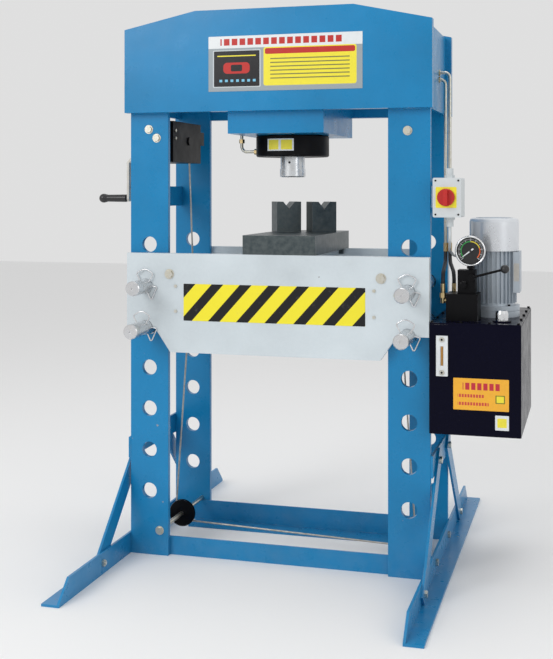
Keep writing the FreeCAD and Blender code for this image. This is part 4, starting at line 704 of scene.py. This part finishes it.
class PRESS_OT_finishes(bpy.types.Operator):
    """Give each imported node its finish"""

    bl_idname = "press.finishes"
    bl_label = "Finishes"

    def execute(self, context):
        make_finishes()
        for finish, nodes in NODE_FINISHES.items():
            for node in nodes:
                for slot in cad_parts[node].material_slots:
                    slot.material = FINISHES[finish]
        named = {node for nodes in NODE_FINISHES.values() for node in nodes}
        missing = set(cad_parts) - named
        if missing:
            raise RuntimeError(f"these nodes have no finish: {sorted(missing)}")
        return {"FINISHED"}


# ------------------------------------------------------------------ pieces

YELLOW = shade(236, 222, 60)
RED = shade(186, 40, 34)
PALE = shade(222, 226, 228)

# places in metres: across from the ram's axis, and up from the floor
SIGN_X, SIGN_Z = (-0.226, 0.307), (1.602, 1.789)
STRIPES_X, STRIPES_Z = (-0.316, 0.316), (0.822, 0.948)
TANK_PLATE_X, TANK_PLATE_Z = (0.603, 0.778), (0.568, 0.669)
SMALL_PLATE_X, SMALL_PLATE_Z = (0.735, 0.778), (0.508, 0.555)
SMALL_MARK_X, SMALL_MARK_Z = (0.742, 0.771), (0.517, 0.546)
GLAND_PLATE_Z, GLAND_MARK_Z = (1.405, 1.447), (1.409, 1.443)
GLAND_PLATE_TURN = -0.09
GLAND_PLATE_HALF, GLAND_MARK_AT, GLAND_MARK_HALF = 0.38, 0.185, 0.15
SWITCH_PLATE_HALF = 0.0335
TIE_BOTTOM, TIE_TOP, FOOT_TOP, RAIL_TOP = 0.332, 0.404, 0.072, 0.064


def layered(made, base, layers):
    """A colour with fields of other colours laid over it one after another."""
    for mask, colour in layers:
        base = made.mixed(mask, base, colour)
    return base


def beside(start, ends):
    """A pair of distances moved to a starting place."""
    return start + ends[0], start + ends[1]


def panel(name, finish, x, z, front, radius=0.002, thick=0.0012, body="frame"):
    """A thin eased plate against a face that looks to the front, from x[0] to x[1] and from
    z[0] to z[1]."""
    centre = (sum(x) / 2, front, sum(z) / 2)
    shape = plate(centre, -Y, x[1] - x[0], z[1] - z[0], thick, radius, thick * 0.3)
    return piece(name, shape, body, finish)


def sign_finish(x, z):
    """The wide sign's pattern: a pale strip with red blocks over a dark square and a
    yellow field."""
    made = Finish("beam sign", shade(150, 160, 166), 0.34, Specular_IOR_Level=0.35)
    wide, tall = x[1] - x[0], z[1] - z[0]
    across, up = made.axis("X", x[0]), made.axis("Z", z[0])

    def part(left, right, bottom, top, radius=0.0):
        return made.field(across, up, left * wide, right * wide, bottom * tall, top * tall,
                          radius)

    def both(first, second):
        return made.maths("MULTIPLY", first, second)

    skin = layered(made, made.colour, (
        (part(0, 1, 0.78, 1), PALE),
        (both(part(0.08, 0.87, 0.83, 0.95), made.rows(across, 0.052 * wide, 0.72)), RED),
        (part(0.030, 0.347, 0.072, 0.745, 0.004), shade(196, 204, 208)),
        (part(0.037, 0.340, 0.087, 0.730, 0.003), shade(18, 18, 22)),
        (part(0.10, 0.275, 0.32, 0.52, 0.014), RED),
        (part(0.15, 0.225, 0.36, 0.48, 0.005), shade(18, 18, 22)),
        (part(0.06, 0.315, 0.63, 0.650), YELLOW),
        (both(part(0.062, 0.318, 0.17, 0.215), made.rows(across, 0.037 * wide, 0.5)),
         shade(120, 190, 220)),
        (part(0.366, 0.963, 0.09, 0.78, 0.008), YELLOW),
        (part(0.375, 0.954, 0.655, 0.76, 0.006), RED),
        (both(part(0.41, 0.92, 0.18, 0.60), made.rows(up, 0.07 * tall, 0.3)),
         shade(120, 118, 70))))
    grit = made.spread(made.noise(0.02, 6, 0.7), 0.5, 0.8)
    skin = made.mixed(made.maths("MULTIPLY", grit, 0.12), skin, (0.12, 0.12, 0.11))
    return made.done(skin, made.spread(grit, 0, 1, 0.3, 0.5))


def stripe_finish(x, z, yellow):
    """Slanting stripes: a point belongs to a yellow or a black one by the difference of its
    distances across and up."""
    made = Finish("striped band", yellow, 0.36, Specular_IOR_Level=0.35)
    rise = made.maths("MULTIPLY", made.axis("Z", z[0]), 0.9)
    slant = made.maths("SUBTRACT", made.axis("X", x[0]), rise)
    skin = made.mixed(made.rows(slant, 0.100, 0.42, -0.012), yellow, shade(14, 14, 16))
    rub = made.spread(made.noise(0.03, 7, 0.7), 0.60, 0.75)
    skin = made.mixed(made.maths("MULTIPLY", rub, 0.25), skin, shade(150, 150, 140))
    return made.done(skin, made.spread(rub, 0, 1, 0.34, 0.55))


def plate_finish(x, z):
    """The tank plate's pattern: an orange field with rows of red blocks and a small yellow
    square, inside a darker rim."""
    made = Finish("tank plate", shade(240, 176, 52), 0.34, Specular_IOR_Level=0.35)
    across, up = made.axis("X", x[0]), made.axis("Z", z[0])
    wide, tall = x[1] - x[0], z[1] - z[0]

    def part(left, right, bottom, top):
        return made.field(across, up, left * wide, right * wide, bottom * tall, top * tall,
                          0.001)

    def blocks(mask, pitch):
        return made.maths("MULTIPLY", mask, made.rows(across, pitch, 0.7))

    skin = layered(made, made.colour, (
        (blocks(part(0.17, 0.86, 0.64, 0.86), 0.019), shade(190, 44, 60)),
        (blocks(part(0.08, 0.55, 0.40, 0.50), 0.009), shade(200, 70, 60)),
        (blocks(part(0.08, 0.64, 0.15, 0.25), 0.009), shade(200, 70, 60)),
        (part(0.76, 0.93, 0.24, 0.50), shade(120, 120, 40)),
        (part(0.78, 0.91, 0.27, 0.47), YELLOW)))
    soil = made.spread(made.noise(0.02, 6, 0.7), 0.45, 0.8)
    skin = made.mixed(made.maths("MULTIPLY", soil, 0.12), skin, (0.1, 0.1, 0.09))
    return made.done(skin, made.spread(soil, 0, 1, 0.32, 0.5))


def curved(centre, radius, begin, end, z, thick, steps=24):
    """A thin plate bent round an upright cylinder: its section of four corners is carried from
    one angle to the other."""
    a = np.linspace(begin, end, steps)[:, None, None]
    section = np.array([(radius, z[0]), (radius + thick, z[0]), (radius + thick, z[1]),
                        (radius, z[1])])
    reach, rise = section[None, :, :1], section[None, :, 1:]
    return lofted(np.array([centre[0], centre[1], 0]) + reach * (np.cos(a) * X + np.sin(a) * Y)
                  + rise * Z)


def plain_finish(name, colour, roughness=0.36, **more):
    """A plain printed or painted field with a little soiling."""
    made = Finish(name, colour, roughness, **more)
    soil = made.spread(made.noise(0.02, 6, 0.7), 0.45, 0.8)
    skin = made.mixed(made.maths("MULTIPLY", soil, 0.15), colour, (0.1, 0.1, 0.09))
    return made.done(skin, made.spread(soil, 0, 1, roughness, roughness + 0.15))


class PRESS_OT_signs(bpy.types.Operator):
    """Put the sign, the striped band and the small plates on the machine"""

    bl_idname = "press.signs"
    bl_label = "Signs"

    def execute(self, context):
        colours = context.scene.press_colours
        ram = middle("ram_rod")[0]
        x, z = beside(ram, SIGN_X), SIGN_Z
        panel("beam_sign", sign_finish(x, z), x, z,
              low("beam_front_plate")[1])
        x, z = beside(ram, STRIPES_X), STRIPES_Z
        panel("bed_stripes",
              stripe_finish(x, z, tuple(colours.stripe_yellow)), x, z,
              low("bed_front_plate")[1], thick=0.0008)
        tank = low("oil_tank")[1]
        panel("tank_plate_large",
              plate_finish(beside(ram, TANK_PLATE_X), TANK_PLATE_Z),
              beside(ram, TANK_PLATE_X), TANK_PLATE_Z, tank)
        panel("tank_plate_small", plain_finish("white plate", PALE),
              beside(ram, SMALL_PLATE_X), SMALL_PLATE_Z, tank)
        panel("tank_plate_mark",
              plain_finish("yellow mark", YELLOW), beside(ram, SMALL_MARK_X),
              SMALL_MARK_Z, tank - 0.0012, thick=0.0004)
        gland = middle("cylinder_gland")
        radius = (high("cylinder_gland")[0] - low("cylinder_gland")[0]) / 2
        front = -TURN / 4 + GLAND_PLATE_TURN
        piece("gland_plate", curved(gland, radius, front - GLAND_PLATE_HALF,
                                    front + GLAND_PLATE_HALF, GLAND_PLATE_Z, 0.0008),
              "frame",
              plain_finish("pale plate", PALE))
        marks = [curved(gland, radius + 0.0008, front + at - GLAND_MARK_HALF,
                        front + at + GLAND_MARK_HALF, GLAND_MARK_Z, 0.0003)
                 for at in (-GLAND_MARK_AT, GLAND_MARK_AT)]
        piece("gland_marks", gathered(marks), "frame",
              plain_finish("yellow marks", YELLOW))
        knob = middle("switch_knob")
        panel("switch_plate",
              plain_finish("yellow plate", tuple(colours.stripe_yellow)),
              beside(knob[0], (-SWITCH_PLATE_HALF, SWITCH_PLATE_HALF)),
              beside(knob[2], (-SWITCH_PLATE_HALF, SWITCH_PLATE_HALF)),
              low("switch_cover")[1], radius=0.003, thick=0.0006)
        box = middle("terminal_box")
        panel("motor_plate", FINISHES["drawn"],
              (box[0] - 0.009, box[0] + 0.009), (box[2] - 0.03, box[2] + 0.03),
              low("terminal_box")[1], thick=0.0008)
        return {"FINISHED"}


def sector(centre, inner, outer, begin, end, thick, steps=40):
    """Part of a flat ring that faces the front: its section of four corners is carried from
    one angle to the other, at (r cos a, r sin a)."""
    a = np.linspace(begin, end, steps)[:, None, None]
    section = np.array([(inner, 0), (outer, 0), (outer, -thick), (inner, -thick)])
    radius, depth = section[None, :, :1], section[None, :, 1:]
    return lofted(np.asarray(centre) + radius * (np.cos(a) * X + np.sin(a) * Z)
                  + depth * Y)


class PRESS_OT_gauge(bpy.types.Operator):
    """Fit the pressure gauge's bezel, dial, scale, coloured arcs and needle hub"""

    bl_idname = "press.gauge"
    bl_label = "Pressure Gauge"

    def execute(self, context):
        case = solids("gauge_case")
        lo, hi = max(case, key=lambda pair: (pair[1] - pair[0])[0])
        centre = np.array([(lo[0] + hi[0]) / 2, lo[1], hi[2] - (hi[0] - lo[0]) / 2])
        radius = (hi[0] - lo[0]) / 2
        back = np.array([centre[0], high("gauge_needle")[1] + 0.003, centre[2]])
        piece("gauge_bezel", doughnut(centre + 0.002 * Y, Y, radius - 0.0032, 0.0032), "frame",
              FINISHES["chrome"])
        dial = turned([(radius - 0.006, 0.0), (radius - 0.006, 0.0006)], back, -Y, 72)
        piece("gauge_dial", dial, "frame",
              plain_finish("dial black", (0.006, 0.006, 0.007), 0.5))
        face = back - 0.0006 * Y
        ticks = []
        for step in range(51):
            angle = math.radians(225 - 270 * step / 50)
            long = 0.009 if step % 5 == 0 else 0.005
            wide = 0.018 if step % 5 == 0 else 0.009
            ticks.append(sector(face, radius - 0.009 - long, radius - 0.009,
                                angle - wide, angle + wide, 0.0002, 3))
        piece("gauge_scale", gathered(ticks), "frame",
              FINISHES["white plastic"])
        for name, begin, end, colour in (
                ("gauge_arc_green", 225, 90, shade(40, 150, 70)),
                ("gauge_arc_yellow", 89, 20, shade(220, 200, 50)),
                ("gauge_arc_orange", 19, -45, shade(220, 96, 36))):
            arc = sector(face, radius - 0.021, radius - 0.0175, math.radians(begin),
                         math.radians(end), 0.0002)
            piece(name, arc, "frame", plain_finish(name, colour, 0.5))
        hub = turned([(0.004, 0), (0.004, 0.0012), (0.003, 0.0018)],
                     (centre[0], low("gauge_needle")[1], centre[2]), -Y, 24)
        piece("gauge_hub", hub, "needle", FINISHES["black plastic"])
        return {"FINISHED"}


def bead(start, end, radius=0.0035):
    """A weld bead: a round section carried in a line, whose size swells and shrinks as
    1 + 0.12 sin(2 pi s / 3 mm), with a slow drift of 0.3 mm."""
    start, end = np.asarray(start, float), np.asarray(end, float)
    length = np.linalg.norm(end - start)
    s = np.linspace(0, length, max(int(length / 0.0009), 4))
    path = start + s[:, None] * (end - start) / length
    path = path + np.sin(s / 0.021)[:, None] * 0.0003 * basis(end - start)[0]
    ease = np.clip(np.minimum(s, length - s) / 0.003, 0.25, 1)
    sizes = (1 + 0.12 * np.sin(s * TURN / 0.003)) * ease
    return carried(path, circle(10) * radius, sizes)


class PRESS_OT_welds(bpy.types.Operator):
    """Lay the weld beads between the posts, the beam, the ties and the feet"""

    bl_idname = "press.welds"
    bl_label = "Welds"

    def execute(self, context):
        beads = []
        for side in ("left", "right"):
            for end in ("front", "rear"):
                post = f"post_{end}_{side}"
                lo, hi = low(post), high(post)
                out = lo[1] if end == "front" else hi[1]
                beam = low(f"beam_{end}_plate")[2]
                outside, inside = (lo[0], hi[0]) if side == "left" else (hi[0], lo[0])
                beads.append(bead((lo[0] + 0.004, out, beam), (hi[0] - 0.004, out, beam)))
                for z in (TIE_BOTTOM, TIE_TOP):
                    beads.append(bead((outside, lo[1], z), (outside, hi[1], z), 0.0025))
                beads.append(bead((outside, lo[1], FOOT_TOP), (outside, hi[1], FOOT_TOP),
                                  0.003))
                beads.append(bead((inside, lo[1] + 0.001, RAIL_TOP),
                                  (inside, hi[1], RAIL_TOP), 0.0022))
        piece("frame_welds", gathered(beads), "frame", FINISHES["frame"], 50)
        return {"FINISHED"}


class PRESS_OT_fittings(bpy.types.Operator):
    """Fit the level tube, small screws, fan guard, lever ball and winch screws"""

    bl_idname = "press.fittings"
    bl_label = "Small Fittings"

    def execute(self, context):
        lo, hi = low("level_gauge"), high("level_gauge")
        middle_x, middle_z = (lo[0] + hi[0]) / 2, (lo[2] + hi[2]) / 2
        tube = turned([(0.0001, -0.031), (0.0038, -0.031), (0.0038, 0.031),
                       (0.0001, 0.031)], (middle_x, lo[1] + 0.0045, middle_z), Z, 24)
        piece("level_tube", tube, "frame",
              plain_finish("oil in its tube", (0.42, 0.20, 0.03), 0.12))
        screws = []
        for z in (lo[2] + 0.012, hi[2] - 0.012):
            screws.append(turned([(0.008, 0), (0.008, 0.003), (0.0066, 0.0046),
                                  (0.0036, 0.0046), (0.0036, 0.002), (0.0001, 0.002)],
                                 (middle_x, lo[1], z), -Y, 6 * 6))
        piece("level_screws", gathered(screws), "frame", FINISHES["zinc"])

        lo, hi = low("fan_cover"), high("fan_cover")
        centre = np.array([(lo[0] + hi[0]) / 2, (lo[1] + hi[1]) / 2, hi[2]])
        rings = [doughnut(centre, Z, r, 0.0013, 64, 8) for r in (0.018, 0.028, 0.038, 0.048,
                                                                 0.058)]
        for i in range(6):
            way = np.array([math.cos(i * TURN / 6), math.sin(i * TURN / 6), 0])
            rings.append(carried([centre + way * 0.012, centre + way * 0.036,
                                  centre + way * 0.062], circle(8) * 0.0013))
        piece("fan_guard", gathered(rings), "frame", FINISHES["motor"])

        lo, hi = low("valve_lever"), high("valve_lever")
        half = (hi[1] - lo[1]) / 2
        ball_centre = (hi[0] - half, (lo[1] + hi[1]) / 2, hi[2] - half)
        radius = half + 0.0002
        t = np.linspace(-math.pi / 2, math.pi / 2, 32)
        ball = turned(np.stack([radius * np.cos(t) + 1e-5, radius * np.sin(t)], axis=-1),
                      ball_centre, Z, 40)
        piece("lever_ball", ball, "lever", FINISHES["black plastic"])

        box = high("winch_box")
        heads = [turned([(0.0055, 0), (0.0055, 0.003), (0.0045, 0.004), (0.0001, 0.004)],
                        (box[0] - 0.005, -0.165, z), X, 24) for z in (1.478, 1.451)]
        post, bed = low("post_front_left")[1], low("bed_front_plate")[1]
        rings = []
        for node, face in (("frame_bolts", post), ("bed_bolts", bed)):
            for lo, hi in solids(node):
                if lo[1] < face - 0.004 and hi[1] > face and hi[0] - lo[0] > 0.018:
                    outer = (hi[0] - lo[0]) / 2 + 0.0035
                    rings.append(washer(((lo[0] + hi[0]) / 2, face, (lo[2] + hi[2]) / 2), -Y,
                                        0.006, outer, 0.0015, 0.0004))
        piece("front_washers", gathered(rings), "frame", FINISHES["zinc"])
        piece("winch_screws", gathered(heads), "frame", FINISHES["zinc"])

        nose = middle("ram_nose")
        radius = (high("ram_nose")[0] - low("ram_nose")[0]) / 2
        screw = turned([(0.004, -0.002), (0.004, 0.0006), (0.0034, 0.001),
                        (0.0018, 0.001), (0.0018, -0.001), (0.0001, -0.001)],
                       (nose[0], nose[1] - radius, high("ram_nose")[2] - 0.008), -Y, 24)
        piece("ram_set_screw", screw, "ram", FINISHES["black"])
        return {"FINISHED"}


OPERATORS = (PRESS_OT_stage, PRESS_OT_finishes, PRESS_OT_signs, PRESS_OT_gauge,
             PRESS_OT_welds, PRESS_OT_fittings)


class PRESS_PT_panel(bpy.types.Panel):
    """The press's settings and the steps that make it"""

    bl_idname = "PRESS_PT_panel"
    bl_label = "Workshop Press"
    bl_space_type = "VIEW_3D"
    bl_region_type = "UI"
    bl_category = "Press"

    def draw(self, context):
        scene = context.scene
        for group in (scene.press_colours, scene.press_wear, scene.press_camera):
            box = self.layout.box()
            for name in group.bl_rna.properties.keys():
                if name not in ("rna_type", "name"):
                    box.prop(group, name)
        for operator in OPERATORS:
            self.layout.operator(operator.bl_idname)


def register():
    """Register the settings, the operators and the panel."""
    for kind in (*PROPERTY_GROUPS, *OPERATORS, PRESS_PT_panel):
        bpy.utils.register_class(kind)
    scene = bpy.types.Scene
    scene.press_colours = bpy.props.PointerProperty(type=PressColours)
    scene.press_wear = bpy.props.PointerProperty(type=PressWear)
    scene.press_camera = bpy.props.PointerProperty(type=PressCamera)


def unregister():
    """Take them away again."""
    scene = bpy.types.Scene
    del scene.press_colours, scene.press_wear, scene.press_camera
    for kind in reversed((*PROPERTY_GROUPS, *OPERATORS, PRESS_PT_panel)):
        bpy.utils.unregister_class(kind)


def main():
    register()
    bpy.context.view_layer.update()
    for operator in OPERATORS:
        space, step = operator.bl_idname.split(".")
        getattr(getattr(bpy.ops, space), step)()


if __name__ == "__main__":
    main()
